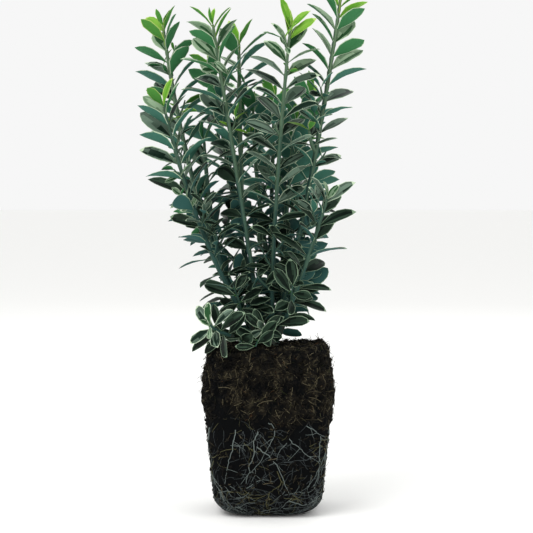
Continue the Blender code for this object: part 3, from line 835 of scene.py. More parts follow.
def axil_shoot(space, limb, distance, turn, owner, node, rng):
    """A leafy shoot in one leaf axil, and its leaves, or nothing where it has no room."""
    share = distance / limb.route.length
    centre, along = limb.route.at(distance + AXIL_RISE)
    first, _ = square_axes(along, limb.across)
    out = Matrix.Rotation(math.radians(turn), 3, along) @ first
    angle = math.radians(AXIL_ANGLE)
    low, high = rng.uniform(*AXIL_LOW_LENGTH), rng.uniform(*AXIL_HIGH_LENGTH)
    length = low + (high - low) * min(1, share * AXIL_SHORTENING)
    way = out * math.sin(angle) + along * math.cos(angle)
    knee = centre + way * length * AXIL_KNEE
    tip = knee + (way + along * AXIL_UPTURN).normalized() * length * AXIL_OUTER
    route = Route(centre, knee, tip)
    nodes = tuple(node_distances(AXIL_BARE, route.length, AXIL_INTERNODE))
    twig = Limb(limb.place, route, AXIL_FOOT_RADIUS, AXIL_TIP_RADIUS, limb.across, 0, nodes)
    shape = plain_limb(twig, 0, route.length, TWIG_SIDES)
    if not space.is_free(*shape, {owner, node}):
        return None, []
    name = f"{node} axil {turn:.0f}"
    sizes = AXIL_LEAF_SCALE if centre.z > FOOT_REACH else FOOT_LEAF_SCALE
    scale = rng.uniform(*sizes) * (1 - AXIL_LEAF_SHRINKING * share)
    phase = rng.uniform(0, 90)
    near = (owner, node)
    leaves, _ = grow_leaves(
        space, name, twig, phase, INTERNODE, rng, scale, AXIL_CLEARANCE, near, AXIL_ROLLS
    )
    if not leaves:
        return None, []
    space.add(name, *shape)
    fresh = centre.z > FRESH_ABOVE and rng.random() < FRESH_CHANCE
    older = [1 if fresh else min(AXIL_FRESHEST, share + AXIL_FRESHER * leaf.share) for leaf in leaves]
    return twig, [leaf._replace(share=age) for leaf, age in zip(leaves, older)]


def axil_shoots(space, axils, rng):
    """The shoots that grow in the axils of the leaf pairs, each with its leaves."""
    grown = []
    for limb, distance, turn, owner, node in axils:
        share = distance / limb.route.length
        low = limb.route.at(distance)[0].z < FOOT_REACH
        chance = FOOT_CHANCE if low else AXIL_CHANCE_LOW + (AXIL_CHANCE_HIGH - AXIL_CHANCE_LOW) * share
        if share > AXIL_HIGHEST or rng.random() > chance or is_crowded(limb):
            continue
        for more_turn in AXIL_RETRIES if low else AXIL_RETRIES[:1]:
            twig, leaves = axil_shoot(space, limb, distance, turn + more_turn, owner, node, rng)
            if twig:
                grown.append((twig, leaves))
                break
    return grown


def basal_shoots(space, kind, rng):
    """Short shoots from the foot of the woody crown, close over the compost, each with its leaves."""
    grown = []
    for azimuth in kind.azimuths:
        turned = heading(azimuth + rng.uniform(-BASAL_TURN_JITTER, BASAL_TURN_JITTER))
        height, reach = rng.uniform(*kind.rise), rng.uniform(*kind.reach)
        root_height = BALL_TOP + rng.uniform(*BASAL_ROOT_HEIGHT)
        start = turned * CROWN_WAIST_RADIUS * BASAL_ROOT_OUT + UP * root_height
        knee = start + turned * reach * kind.knee_share + UP * kind.knee_rise
        route = Route(start, knee, start + turned * reach + UP * height)
        nearest = min(SHOOTS, key=lambda shoot: turned.angle(heading(shoot.foot_azimuth)))
        nodes = tuple(node_distances(kind.first_leaf * route.length, route.length, BASAL_INTERNODE))
        across = UP.cross(turned)
        twig = Limb(nearest.place, route, AXIL_FOOT_RADIUS, AXIL_TIP_RADIUS, across, 0, nodes)
        name = f"basal {azimuth}"
        scale = rng.uniform(*BASAL_LEAF_SCALE)
        near = ("bough", "trunk")
        leaves, _ = grow_leaves(
            space, name, twig, BASAL_PHASE, BASAL_INTERNODE, rng, scale, AXIL_CLEARANCE, near
        )
        if leaves:
            space.add(name, *plain_limb(twig, 0, route.length, TWIG_SIDES))
            grown.append((twig, [leaf._replace(share=0) for leaf in leaves]))
    return grown


def bud_leaves(space, owner, limb):
    """The two crossed pairs of small upright leaves that end a growing stem."""
    leaves = []
    for phase, rise, angle, size in BUD_PAIRS:
        distance = limb.route.length - BUD_DEPTH + rise
        node = f"{owner} bud {rise}"
        for side in (0, 180):
            found = place_leaf(
                space, limb, distance, phase + side, angle, 0, size, LEAF_WIDTH_RATIO, {owner, node}, 0
            )
            if found:
                leaf, shape = found
                leaves.append(leaf._replace(share=1.0))
                space.add(node, *shape)
    return leaves


def shoot_limbs(space, shoot):
    """A shoot's main stem and its side twigs, as (owner, limb, internode). They take their space."""
    across = UP.cross(heading(shoot.lean))

    def limb(path, start, first, internode):
        nodes = tuple(node_distances(first, path.length, internode))
        return Limb(shoot.place, path, STEM_FOOT_RADIUS, STEM_TIP_RADIUS, across, start, nodes)

    route = shoot_route(shoot)
    start = shoot.bare + GAP
    main = limb(route, start, start + shoot.internode * FIRST_PAIR, shoot.internode)
    space.add("bough", *plain_limb(main, 0, shoot.bare, BOUGH_SIDES))
    space.add(shoot.place, *plain_limb(main, start, route.length, TWIG_SIDES))
    own = [(shoot.place, main, shoot.internode)]
    for index, twig in enumerate(shoot.twigs):
        path = twig_route(route, shoot.bare, twig)
        side = limb(path, 0, twig.internode, twig.internode)
        owner = f"{shoot.place} twig {index}"
        space.add(owner, *plain_limb(side, 0, path.length, TWIG_SIDES))
        own.append((owner, side, twig.internode))
    return own


@functools.cache
def grown_crown():
    """The main stems, every leafy twig and every leaf, in the CAD's order of growth.

    The buds and the small shoots, which the CAD model leaves out, come after all its leaves.
    """
    space = Space()
    for name in ("root_ball", "trunk"):
        mesh = frame["nodes"][name].data
        points = [vertex.co / MM for vertex in mesh.vertices]
        space.add(name, points, [tuple(face.vertices) for face in mesh.polygons])
    grown = [shoot_limbs(space, shoot) for shoot in SHOOTS]
    leaves, axils = [], []
    for number, (shoot, own) in enumerate(zip(SHOOTS, grown)):
        rng = random.Random(SEED + number)
        for owner, limb, internode in own:
            new_leaves, new_axils = grow_leaves(space, owner, limb, shoot.phase, internode, rng)
            leaves += new_leaves
            axils += new_axils
    for own in grown:
        for owner, limb, _ in own:
            leaves += bud_leaves(space, owner, limb)
    rng = random.Random(AXIL_SEED)
    small = basal_shoots(space, SHORT_BASAL, rng) + axil_shoots(space, axils, rng)
    small += basal_shoots(space, LONG_BASAL, rng)
    boughs = [own[0][1] for own in grown]
    twigs = [limb for own in grown for _, limb, _ in own] + [twig for twig, _ in small]
    for _, new_leaves in small:
        leaves += new_leaves
    return boughs, twigs, leaves


def add_node(tree, kind, values=None, links=None, **settings):
    """A node with its settings, the values of its inputs and the sockets linked to them."""
    node = tree.nodes.new(kind)
    for name, value in settings.items():
        setattr(node, name, value)
    for key, value in (values or {}).items():
        node.inputs[key].default_value = value
    for key, socket in (links or {}).items():
        tree.links.new(socket, node.inputs[key])
    return node


def new_material(name, colour, roughness, specular=FAINT_SPECULAR):
    """A material of one plain colour, with its roughness and how strongly it reflects."""
    made = bpy.data.materials.new(name)
    made.use_nodes = True
    made.diffuse_color = (*colour, 1)
    shader = made.node_tree.nodes["Principled BSDF"]
    shader.inputs["Base Color"].default_value = (*colour, 1)
    shader.inputs["Roughness"].default_value = roughness
    shader.inputs["Specular IOR Level"].default_value = specular
    return made


def pattern_scale(millimetres):
    """The scale of a noise texture whose features are this size."""
    return 1 / (millimetres * MM)


def ramp(tree, factor, *stops):
    """The colour of a ramp through (position, linear colour) stops."""
    node = add_node(tree, "ShaderNodeValToRGB", links={"Fac": factor})
    elements = node.color_ramp.elements
    while len(elements) < len(stops):
        elements.new(0.5)
    for element, (position, colour) in zip(elements, stops):
        element.position = position
        element.color = (*colour, 1)
    return node.outputs["Color"]


def mesh_object(name, points, faces, materials=(), slots=None):
    """A mesh object in the scene from points in mm, smooth-shaded."""
    mesh = bpy.data.meshes.new(name)
    mesh.from_pydata([tuple(co * MM for co in point) for point in points], [], faces)
    for finish in materials:
        mesh.materials.append(finish)
    if slots is not None:
        mesh.polygons.foreach_set("material_index", slots)
    mesh.polygons.foreach_set("use_smooth", [True] * len(mesh.polygons))
    mesh.update()
    obj = bpy.data.objects.new(name, mesh)
    bpy.context.scene.collection.objects.link(obj)
    return obj


def finish_piece(obj, slot, *nodes):
    """The piece rides with the plant and stands for these CAD nodes, which it hides. Its slot is not used.
    """
    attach(obj, "root")
    if nodes:
        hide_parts(*nodes)


def square_reach(azimuth, half, corner):
    """How far a rounded square's edge is from its middle at this azimuth, in radians."""
    ax, ay = abs(math.cos(azimuth)), abs(math.sin(azimuth))
    straight = half - corner
    longer, shorter = max(ax, ay), min(ax, ay)
    if half * shorter / longer <= straight:
        return half / longer
    total = straight * (ax + ay)
    return total + math.sqrt(max(0, corner**2 - straight**2 * (ax - ay) ** 2))


def straight_run(start, end, step):
    """Points at about this step along a line, without its start."""
    count = max(1, round(math.dist(start, end) / step))
    return [
        tuple(a + (b - a) * i / count for a, b in zip(start, end)) for i in range(1, count + 1)
    ]


def arc_run(half, height, radius, first, last, steps):
    """Points along an arc round this centre, from one angle to another, without its start."""
    turns = [math.radians(first + (last - first) * i / steps) for i in range(1, steps + 1)]
    return [(half + radius * math.cos(t), height + radius * math.sin(t)) for t in turns]


def ball_profile():
    """The ball's outline from the middle of its foot to the middle of its top: (half, height)."""
    foot, top = BALL_FOOT_HALF - BALL_FOOT_ROUNDING, BALL_TOP_HALF - BALL_TOP_ROUNDING
    edge = BALL_TOP - BALL_TOP_ROUNDING
    outline = [(POLE_RADIUS, 0.0)]
    outline += straight_run(outline[-1], (foot, 0), FOOT_STEP)
    outline += arc_run(foot, BALL_FOOT_ROUNDING, BALL_FOOT_ROUNDING, -90, 0, FOOT_ARC_STEPS)
    outline += straight_run(outline[-1], (BALL_SHOULDER_HALF, BALL_SHOULDER_HEIGHT), SIDE_STEP)
    outline += straight_run(outline[-1], (BALL_TOP_HALF, edge), LOOSE_STEP)
    outline += arc_run(top, edge, BALL_TOP_ROUNDING, 0, 90, TOP_ARC_STEPS)
    outline += straight_run(outline[-1], (POLE_RADIUS, BALL_TOP), TOP_STEP)
    return outline


def looseness(height):
    """How loose the compost is, from 0 where the pot pressed it to 1 in its upper third."""
    share = min(1, max(0, (height - LOOSE_FROM) / (LOOSE_FULL - LOOSE_FROM)))
    return share * share * (3 - 2 * share)


def waves(place, terms):
    """The sum of noise in waves, from pairs of height and size."""
    return sum(height * noise.noise(place / size) for height, size in terms)


def cells(place, terms):
    """The sum of rounded bumps, from pairs of height and size."""
    return sum(
        height * (1 - CELL_DEPTH * noise.voronoi(place / size)[0][0]) for height, size in terms
    )


def uneven_looseness(place):
    """The looseness at a place, whose lower edge is uneven and reaches lower on one side."""
    return looseness(place.z + waves(place, EDGE_WAVES) + EDGE_SLOPE * place.x)


def strand_share(place):
    """How densely strands and crumbs lie at a place, beside the loose compost."""
    return 0 if place.z < LOWEST_STRAND else max(BARE_STRANDS, uneven_looseness(place))


def dryness(place):
    """How dry the compost is at a place, from 0 in the dark moist patches to 1."""
    patches = DRY_PATCH * noise.noise(place / DRY_PATCH_SIZE + DRY_PATCH_SHIFT)
    patches += noise.noise(place / DRY_SPECK_SIZE)
    return min(1, max(0, DRY_MIDDLE + DRY_CONTRAST * patches))


def compost_relief(place, settings):
    """How far the compost stands out at a place on the ball, in mm. It is calm round the stems."""
    loose = settings.hummocks / MM * waves(place, HUMMOCK_WAVES)
    loose += settings.crumbs / MM * cells(place, CRUMB_CELLS)
    loose -= TOP_EROSION * looseness(place.z - BALL_TOP + LOOSE_FULL + EROSION_REACH)
    tight = waves(place, [PRESSED_WAVE]) + cells(place, [PRESSED_CELL]) + waves(place, [PRESSED_GRAIN])
    tight *= settings.pressed / MM
    rough = 1
    if place.z > LOOSE_FULL:
        rough = min(1, max(0, (math.hypot(place.x, place.y) - CALM_RADIUS) / CALM_FADE))
    relief = tight + (loose - tight) * uneven_looseness(place)
    return relief * rough + CALM_LIFT * (1 - rough)


class EUONYMUS_OT_compost(bpy.types.Operator):
    """Build the crumbly body of the root ball over the CAD ball"""

    bl_idname = "euonymus.compost"
    bl_label = "Compost"

    def execute(self, context):
        settings = context.scene.euonymus_ball
        outline = ball_profile()
        grid = np.zeros((len(outline), BALL_SEGMENTS, 3))
        for level, (half, height) in enumerate(outline):
            corner = min(BALL_CORNER_RADIUS, half)
            for i in range(BALL_SEGMENTS):
                azimuth = 2 * math.pi * i / BALL_SEGMENTS
                reach = square_reach(azimuth, half, corner)
                grid[level, i] = (reach * math.cos(azimuth), reach * math.sin(azimuth), height)
        around = np.roll(grid, -1, 1) - np.roll(grid, 1, 1)
        up = np.gradient(grid, axis=0)
        normals = np.cross(around, up)
        normals /= np.linalg.norm(normals, axis=2, keepdims=True)
        for level in range(len(outline)):
            for i in range(BALL_SEGMENTS):
                place = Vector(grid[level, i])
                if place.z < FLAT_BELOW:
                    continue
                relief = compost_relief(place, settings) * min(1, place.z / EVEN_BELOW)
                grid[level, i] += normals[level, i] * relief
        groove = GROOVE_HEIGHT * np.clip(1 - np.abs(grid[..., 0] - GROOVE_X) / (GROOVE_WIDTH / 2), 0, 1)
        grid[..., 2] += groove * np.clip(1 - grid[..., 2] / GROOVE_REACH, 0, 1)
        points, faces = stacked([list(map(tuple, ring)) for ring in grid])
        ball = mesh_object("compost", points, faces, [compost_material(settings)])
        shares = [strand_share(Vector(point)) for point in points]
        dry = [share * dryness(Vector(point)) for share, point in zip(shares, points)]
        for name, values in (("loose", shares), ("dry", dry)):
            ball.data.attributes.new(name, "FLOAT", "POINT").data.foreach_set("value", values)
        finish_piece(ball, "compost", "root_ball")
        return {"FINISHED"}


def compost_material(settings):
    """Moist peat and coir compost: nearly black and matt, with browner, fibrous patches on top."""
    made = new_material("moist_compost", settings.dark, COMPOST_ROUGHNESS, COMPOST_SPECULAR)
    tree = made.node_tree
    shader = tree.nodes["Principled BSDF"]
    place = add_node(tree, "ShaderNodeTexCoord").outputs["Object"]
    dry = add_node(tree, "ShaderNodeAttribute", attribute_name="dry").outputs["Fac"]
    patches, threads, grit = (
        add_node(tree, "ShaderNodeTexNoise", {
            "Scale": pattern_scale(size), "Detail": detail, "Roughness": rough, "Distortion": distortion,
        }, {"Vector": place}).outputs["Fac"]
        for size, detail, rough, distortion in (COMPOST_PATCHES, COMPOST_THREADS, COMPOST_GRIT)
    )
    browner, thready = (
        add_node(tree, "ShaderNodeMath", links={0: pattern, 1: dry}, operation="MULTIPLY").outputs[0]
        for pattern in (patches, threads)
    )
    body = ramp(tree, browner, (BROWN_FROM, settings.dark), (BROWN_FULL, settings.brown))
    share = ramp(tree, thready, (THREADS_FROM, (0, 0, 0)), (THREADS_FULL, (THREAD_SHARE,) * 3))
    mixed = add_node(
        tree, "ShaderNodeMixRGB", {"Color2": (*settings.fibre, 1)}, {"Fac": share, "Color1": body}
    )
    tree.links.new(mixed.outputs["Color"], shader.inputs["Base Color"])
    bump = add_node(
        tree, "ShaderNodeBump", {"Strength": GRIT_STRENGTH, "Distance": GRIT_DEPTH * MM}, {"Height": grit}
    )
    tree.links.new(bump.outputs["Normal"], shader.inputs["Normal"])
    return made


def new_tree(name, inputs):
    """A Geometry Nodes tree that takes a geometry and these named inputs, and its inputs' sockets."""
    tree = bpy.data.node_groups.new(name, "GeometryNodeTree")
    for label, kind in (("Geometry", "Geometry"), *inputs, ("Material", "Material")):
        tree.interface.new_socket(label, in_out="INPUT", socket_type=f"NodeSocket{kind}")
    tree.interface.new_socket("Geometry", in_out="OUTPUT", socket_type="NodeSocketGeometry")
    return tree, add_node(tree, "NodeGroupInput").outputs


def end_tree(tree, geometry, material):
    """The end of a tree: plain geometry with its material set."""
    solid = add_node(tree, "GeometryNodeRealizeInstances", links={"Geometry": geometry})
    painted = add_node(
        tree, "GeometryNodeSetMaterial",
        links={"Geometry": solid.outputs["Geometry"], "Material": material},
    )
    add_node(tree, "NodeGroupOutput", links={"Geometry": painted.outputs["Geometry"]})
    return tree


def scatter_tree():
    """Geometry Nodes that scatter pieces over a surface, lying along it, and set their material."""
    tree, given = new_tree("scatter over compost", (
        ("Pieces", "Collection"), ("Mask", "String"), ("Density", "Float"), ("Smallest", "Float"),
        ("Largest", "Float"), ("Tilt", "Float"), ("Seed", "Int"),
    ))
    mask = add_node(
        tree, "GeometryNodeInputNamedAttribute", links={"Name": given["Mask"]}, data_type="FLOAT"
    ).outputs["Attribute"]
    density = add_node(
        tree, "ShaderNodeMath", links={0: given["Density"], 1: mask}, operation="MULTIPLY"
    ).outputs[0]
    spread = add_node(
        tree, "GeometryNodeDistributePointsOnFaces",
        links={"Mesh": given["Geometry"], "Density": density, "Seed": given["Seed"]},
    )
    pieces = add_node(
        tree, "GeometryNodeCollectionInfo", {"Separate Children": True, "Reset Children": True},
        {"Collection": given["Pieces"]},
    ).outputs["Instances"]
    least = add_node(
        tree, "ShaderNodeMath", {1: -1.0}, {0: given["Tilt"]}, operation="MULTIPLY"
    ).outputs[0]
    lowest = add_node(tree, "ShaderNodeCombineXYZ", {"Z": -math.pi}, {"X": least, "Y": least}).outputs[0]
    highest = add_node(
        tree, "ShaderNodeCombineXYZ", {"Z": math.pi}, {"X": given["Tilt"], "Y": given["Tilt"]}
    ).outputs[0]
    turn = add_node(
        tree, "FunctionNodeRandomValue", links={"Min": lowest, "Max": highest, "Seed": given["Seed"]},
        data_type="FLOAT_VECTOR",
    ).outputs["Value"]
    turned = add_node(
        tree, "FunctionNodeRotateRotation",
        links={"Rotation": spread.outputs["Rotation"], "Rotate By": turn}, rotation_space="LOCAL",
    ).outputs["Rotation"]
    scale = add_node(tree, "FunctionNodeRandomValue", data_type="FLOAT")
    tree.links.new(given["Smallest"], scale.inputs[2])
    tree.links.new(given["Largest"], scale.inputs[3])
    tree.links.new(given["Seed"], scale.inputs["Seed"])
    copies = add_node(
        tree, "GeometryNodeInstanceOnPoints", {"Pick Instance": True},
        {
            "Points": spread.outputs["Points"], "Instance": pieces, "Rotation": turned,
            "Scale": scale.outputs[1],
        },
    )
    return end_tree(tree, copies.outputs["Instances"], given["Material"])


def shaped_by(name, source, tree, values):
    """A plain mesh object: the source's mesh after the tree, with its named inputs set."""
    host = bpy.data.objects.new(name + "_host", source)
    bpy.context.scene.collection.objects.link(host)
    modifier = host.modifiers.new("shape", "NODES")
    modifier.node_group = tree
    identifiers = {
        item.name: item.identifier for item in tree.interface.items_tree if item.in_out == "INPUT"
    }
    for key, value in values.items():
        modifier[identifiers[key]] = value
    bpy.context.view_layer.update()
    evaluated = host.evaluated_get(bpy.context.evaluated_depsgraph_get())
    mesh = bpy.data.meshes.new_from_object(evaluated)
    mesh.name = name
    bpy.data.objects.remove(host)
    if not mesh.polygons:
        raise RuntimeError(f"{name} came out empty")
    obj = bpy.data.objects.new(name, mesh)
    bpy.context.scene.collection.objects.link(obj)
    return obj


def tube(points, radii, sides):
    """Rings of a round tube along a path. Its frame is carried along, so that it doesn't twist."""
    rings = []
    normal = None
    for index, (point, radius) in enumerate(zip(points, radii)):
        ahead = points[min(index + 1, len(points) - 1)]
        behind = points[max(index - 1, 0)]
        along = (ahead - behind).normalized()
        if normal is None:
            normal = along.orthogonal()
        normal = (normal - along * normal.dot(along)).normalized()
        second = along.cross(normal)
        turns = [2 * math.pi * side / sides for side in range(sides)]
        rings.append([point + (normal * math.cos(t) + second * math.sin(t)) * radius for t in turns])
    return rings


def strand_shapes(rng):
    """Fibres, straight or a little bent, that lie along the surface and lift a little off it."""
    for kind in range(STRAND_KINDS):
        length = STRAND_LENGTH * rng.uniform(*STRAND_LENGTHS)
        side = rng.choice((-1, 1))
        bend = side * (STRAIGHT_BEND if kind % 2 else rng.uniform(*STRAND_BENDS))
        point, turn = Vector((-length / 2, 0, 0)), -bend * STRAND_POINTS / 2
        points = []
        for step in range(STRAND_POINTS):
            lift = rng.uniform(*STRAND_LIFT) * math.sin(
                math.pi * (step + STRAND_LIFT_SHIFT) / STRAND_POINTS
            )
            points.append(point + UP * lift)
            turn += bend + rng.uniform(-STRAND_WAVER, STRAND_WAVER)
            point = point + Vector((math.cos(turn), math.sin(turn), 0)) * (length / STRAND_POINTS)
        radii = [STRAND_RADIUS * rng.uniform(*STRAND_RADII) for _ in points]
        yield stacked(tube(points, radii, STRAND_SIDES))


def lump_shapes(rng):
    """Angular crumbs of compost."""
    for _ in range(LUMP_KINDS):
        shape = bmesh.new()
        bmesh.ops.create_icosphere(shape, subdivisions=1, radius=LUMP_RADIUS)
        for vertex in shape.verts:
            vertex.co *= rng.uniform(*LUMP_RADII)
            vertex.co.z *= LUMP_FLATNESS
        shape.verts.index_update()
        points = [vertex.co.copy() for vertex in shape.verts]
        faces = [tuple(vertex.index for vertex in face.verts) for face in shape.faces]
        shape.free()
        yield points, faces


def hidden_collection(name, shapes):
    """A collection of small meshes for Geometry Nodes to copy. It is outside the scene."""
    held = bpy.data.collections.new(name)
    for index, (points, faces) in enumerate(shapes):
        mesh = bpy.data.meshes.new(f"{name}_{index}")
        mesh.from_pydata([tuple(point * MM) for point in points], [], faces)
        mesh.polygons.foreach_set("use_smooth", [True] * len(mesh.polygons))
        held.objects.link(bpy.data.objects.new(f"{name}_{index}", mesh))
    return held


class EUONYMUS_OT_compost_fibres(bpy.types.Operator):
    """Scatter loose crumbs and fibres over the upper compost"""

    bl_idname = "euonymus.compost_fibres"
    bl_label = "Crumbs and fibres"

    def execute(self, context):
        settings = context.scene.euonymus_ball
        surface = bpy.data.objects["compost"].data
        tree = scatter_tree()
        rng = random.Random(SEED)
        pieces = {
            "strands": hidden_collection("strand", strand_shapes(rng)),
            "lumps": hidden_collection("lump", lump_shapes(rng)),
        }
        for litter in LITTER:
            tone = linear(litter.colour) if litter.colour else tuple(settings.fibre)
            density = litter.share * getattr(settings, litter.kind) * PER_SQUARE_CM
            finish = new_material(litter.name, tone, LITTER_ROUGHNESS, LITTER_SPECULAR)
            obj = shaped_by(litter.name, surface, tree, {
                "Pieces": pieces[litter.kind], "Mask": litter.mask, "Density": density,
                "Smallest": litter.smallest, "Largest": litter.largest, "Tilt": litter.tilt,
                "Seed": SEED + len(litter.name), "Material": finish,
            })
            finish_piece(obj, "compost", "root_ball")
        return {"FINISHED"}


def half_at(height):
    """Half the ball's width at this height."""
    if height < BALL_FOOT_ROUNDING:
        drop = BALL_FOOT_ROUNDING - height
        inset = math.sqrt(max(0, BALL_FOOT_ROUNDING**2 - drop**2))
        return BALL_FOOT_HALF - BALL_FOOT_ROUNDING + inset
    share = (height - BALL_FOOT_ROUNDING) / (BALL_SHOULDER_HEIGHT - BALL_FOOT_ROUNDING)
    return BALL_FOOT_HALF + (BALL_SHOULDER_HALF - BALL_FOOT_HALF) * min(1, share)


def side_point(azimuth, height):
    """The point on the ball's side at this azimuth, in degrees, and height, in mm."""
    half = half_at(height)
    turn = math.radians(azimuth)
    reach = square_reach(turn, half, min(BALL_CORNER_RADIUS, half))
    return Vector((reach * math.cos(turn), reach * math.sin(turn), height))


def front_azimuth(x, height):
    """The azimuth of the point on the ball's front face that stands at this x."""
    half = half_at(height)
    corner = min(BALL_CORNER_RADIUS, half)
    straight = half - corner
    x = max(-half, min(half, x))
    over = max(0, abs(x) - straight)
    y = -half if over == 0 else -(straight + math.sqrt(max(0, corner**2 - over**2)))
    return math.degrees(math.atan2(y, x))


def wandering_path(rng, azimuth, height, way, reach, bend):
    """Points of a root that wanders over the ball's side. way is its heading, 270 being down."""
    points = []
    for _ in range(max(3, round(reach / ROOT_STEP))):
        points.append((azimuth, height))
        way += math.degrees(rng.gauss(0, bend))
        width = side_point(azimuth, height).xy.length
        azimuth += math.degrees(ROOT_STEP * math.cos(math.radians(way)) / width)
        height += ROOT_STEP * math.sin(math.radians(way))
        if not LOWEST_ROOT <= height <= LOOSE_FULL:
            height = min(max(height, LOWEST_ROOT), LOOSE_FULL)
            way = HALF_TURN * round(way / HALF_TURN)
    return points


def drawn_roots(rng, growth, spans):
    """The roots of one growth, spread over spans of azimuth. Yields tint, radius and path."""
    for _ in range(growth.count):
        azimuth = rng.uniform(*rng.choice(spans))
        if growth.near_corners:
            azimuth = FIRST_CORNER + 90 * rng.randrange(4) + rng.gauss(0, CORNER_SPREAD)
        height = rng.uniform(growth.low, growth.high)
        way = growth.way + rng.gauss(0, growth.spread)
        reach = rng.uniform(*growth.reach)
        path = wandering_path(rng, azimuth, height, way, reach, growth.bend)
        yield growth.tint, growth.radius * rng.uniform(*ROOT_RADII), path
        for _ in range(growth.forks):
            where = path[rng.randrange(len(path) // 4, len(path))]
            lean = rng.choice((-1, 1)) * rng.uniform(*FORK_LEAN)
            shorter = reach * rng.uniform(*FORK_REACH)
            side = wandering_path(rng, *where, way + lean, shorter, growth.bend)
            yield growth.tint, growth.radius * FORK_GIRTH, side


def wavering(points, rng):
    """The same path with a point about every ROOT_STEP mm, each put a little off the line."""
    finer = []
    for a, b in pairwise(points):
        steps = max(1, round(math.dist(a, b) / ROOT_STEP))
        for i in range(steps):
            x, z = (a[axis] + (b[axis] - a[axis]) * i / steps for axis in (0, 1))
            finer.append((x + rng.gauss(0, ROOT_WAVER), z + rng.gauss(0, ROOT_WAVER)))
    finer.append(points[-1])
    return finer


def root_tree():
    """Geometry Nodes that turn paths of edges into round roots, as thick as their attribute says."""
    tree, given = new_tree("roots along paths", (("Sides", "Int"), ("Thickness", "Float")))
    paths = add_node(tree, "GeometryNodeMeshToCurve", links={"Mesh": given["Geometry"]}).outputs["Curve"]
    radius = add_node(
        tree, "GeometryNodeInputNamedAttribute", {"Name": "radius"}, data_type="FLOAT"
    ).outputs["Attribute"]
    scale = add_node(
        tree, "ShaderNodeMath", links={0: radius, 1: given["Thickness"]}, operation="MULTIPLY"
    ).outputs[0]
    outline = add_node(
        tree, "GeometryNodeCurvePrimitiveCircle", {"Radius": 1.0}, {"Resolution": given["Sides"]}
    ).outputs["Curve"]
    skin = add_node(
        tree, "GeometryNodeCurveToMesh", {"Fill Caps": True},
        {"Curve": paths, "Profile Curve": outline, "Scale": scale},
    ).outputs["Mesh"]
    smooth = add_node(tree, "GeometryNodeSetShadeSmooth", links={"Geometry": skin})
    return end_tree(tree, smooth.outputs["Geometry"], given["Material"])


class EUONYMUS_OT_roots(bpy.types.Operator):
    """Lay the living roots over the side of the ball"""

    bl_idname = "euonymus.roots"
    bl_label = "Roots"

    def execute(self, context):
        settings = context.scene.euonymus_ball
        rng = random.Random(SEED + 1)
        roots = [
            (tint, FRONT_ROOT_GIRTH * radius, [(front_azimuth(x, z), z) for x, z in wavering(points, rng)])
            for tint, radius, points in FRONT_ROOTS
        ]
        for tint, _, path in list(roots):
            for _ in range(ROOTLETS):
                where = rng.choice(path)
                way = DOWN + rng.choice((-1, 1)) * rng.uniform(*ROOTLET_LEAN)
                rootlet = wandering_path(rng, *where, way, rng.uniform(*ROOTLET_REACH), ROOTLET_BEND)
                roots.append((tint, ROOTLET_RADIUS, rootlet))
        for growth in SIDE_GROWTHS:
            roots += drawn_roots(rng, growth, OTHER_FACES)
        for growth in ALL_ROUND_GROWTHS:
            roots += drawn_roots(rng, growth, ALL_ROUND)
        ball = bpy.data.objects["compost"]
        skin = BVHTree.FromObject(ball, bpy.context.evaluated_depsgraph_get())
        tree = root_tree()
        for tint, (finish_name, roughness) in ROOT_TINTS.items():
            points, edges, radii = [], [], []
            for own_tint, radius, path in roots:
                if own_tint != tint:
                    continue
                for index, (azimuth, height) in enumerate(path):
                    near, normal, _, _ = skin.find_nearest(side_point(azimuth, height) * MM)
                    taper = 1 - ROOT_TAPER * index / len(path)
                    if index:
                        edges.append((len(points) - 1, len(points)))
                    points.append(near + normal * (radius * taper * ROOT_SINK * MM))
                    radii.append(radius * taper)
            source = bpy.data.meshes.new(f"paths_{tint}")
            source.from_pydata(points, edges, [])
            source.attributes.new("radius", "FLOAT", "POINT").data.foreach_set("value", radii)
            finish = new_material(finish_name, tuple(getattr(settings, f"{tint}_root")), roughness)
            values = {"Sides": settings.root_sides, "Thickness": MM, "Material": finish}
            obj = shaped_by(f"roots_{tint}", source, tree, values)
            finish_piece(obj, "compost", "root_ball")
        return {"FINISHED"}


def barked_limb(limb, start, end, sides, step, settings, rng):
    """Rings of a stem with its four ridges, a joint at each pair of leaves and a faintly uneven skin."""
    count = max(3, math.ceil((end - start) / step))
    phase = rng.uniform(0, 2 * math.pi)
    spacing = min([b - a for a, b in pairwise(limb.nodes)][:1] + [INTERNODE])
    slimness = crowded_size(spacing)
    rings = []
    for index in range(count + 1):
        distance = start + (end - start) * index / count
        centre, along = limb.route.at(min(max(distance, 0), limb.route.length))
        centre = centre + along * min(0, distance)
        first, second = square_axes(along, limb.across)
        swelling = sum(math.exp(-(((distance - node) / JOINT_REACH) ** 2)) for node in limb.nodes)
        share = min(max(distance, 0), limb.route.length) / limb.route.length
        girth = settings.girth * (1 + GIRTH_GAIN * share) * (1 - TIP_THINNING * share**TIP_THINNING_POWER)
        radius = limb_radius(limb, share * limb.route.length)
        radius *= slimness * (girth + settings.joints * min(1, swelling))
        ring = []
        for side in range(sides):
            turn = 2 * math.pi * side / sides
            out = first * math.cos(turn) + second * math.sin(turn)
            ridge = 1 + settings.ridges * math.cos(4 * turn + phase)
            uneven = 1 + SKIN_UNEVENNESS * noise.noise((centre + out * radius) * SKIN_GRAIN)
            ring.append(centre + out * radius * ridge * uneven)
        rings.append(ring)
    return rings


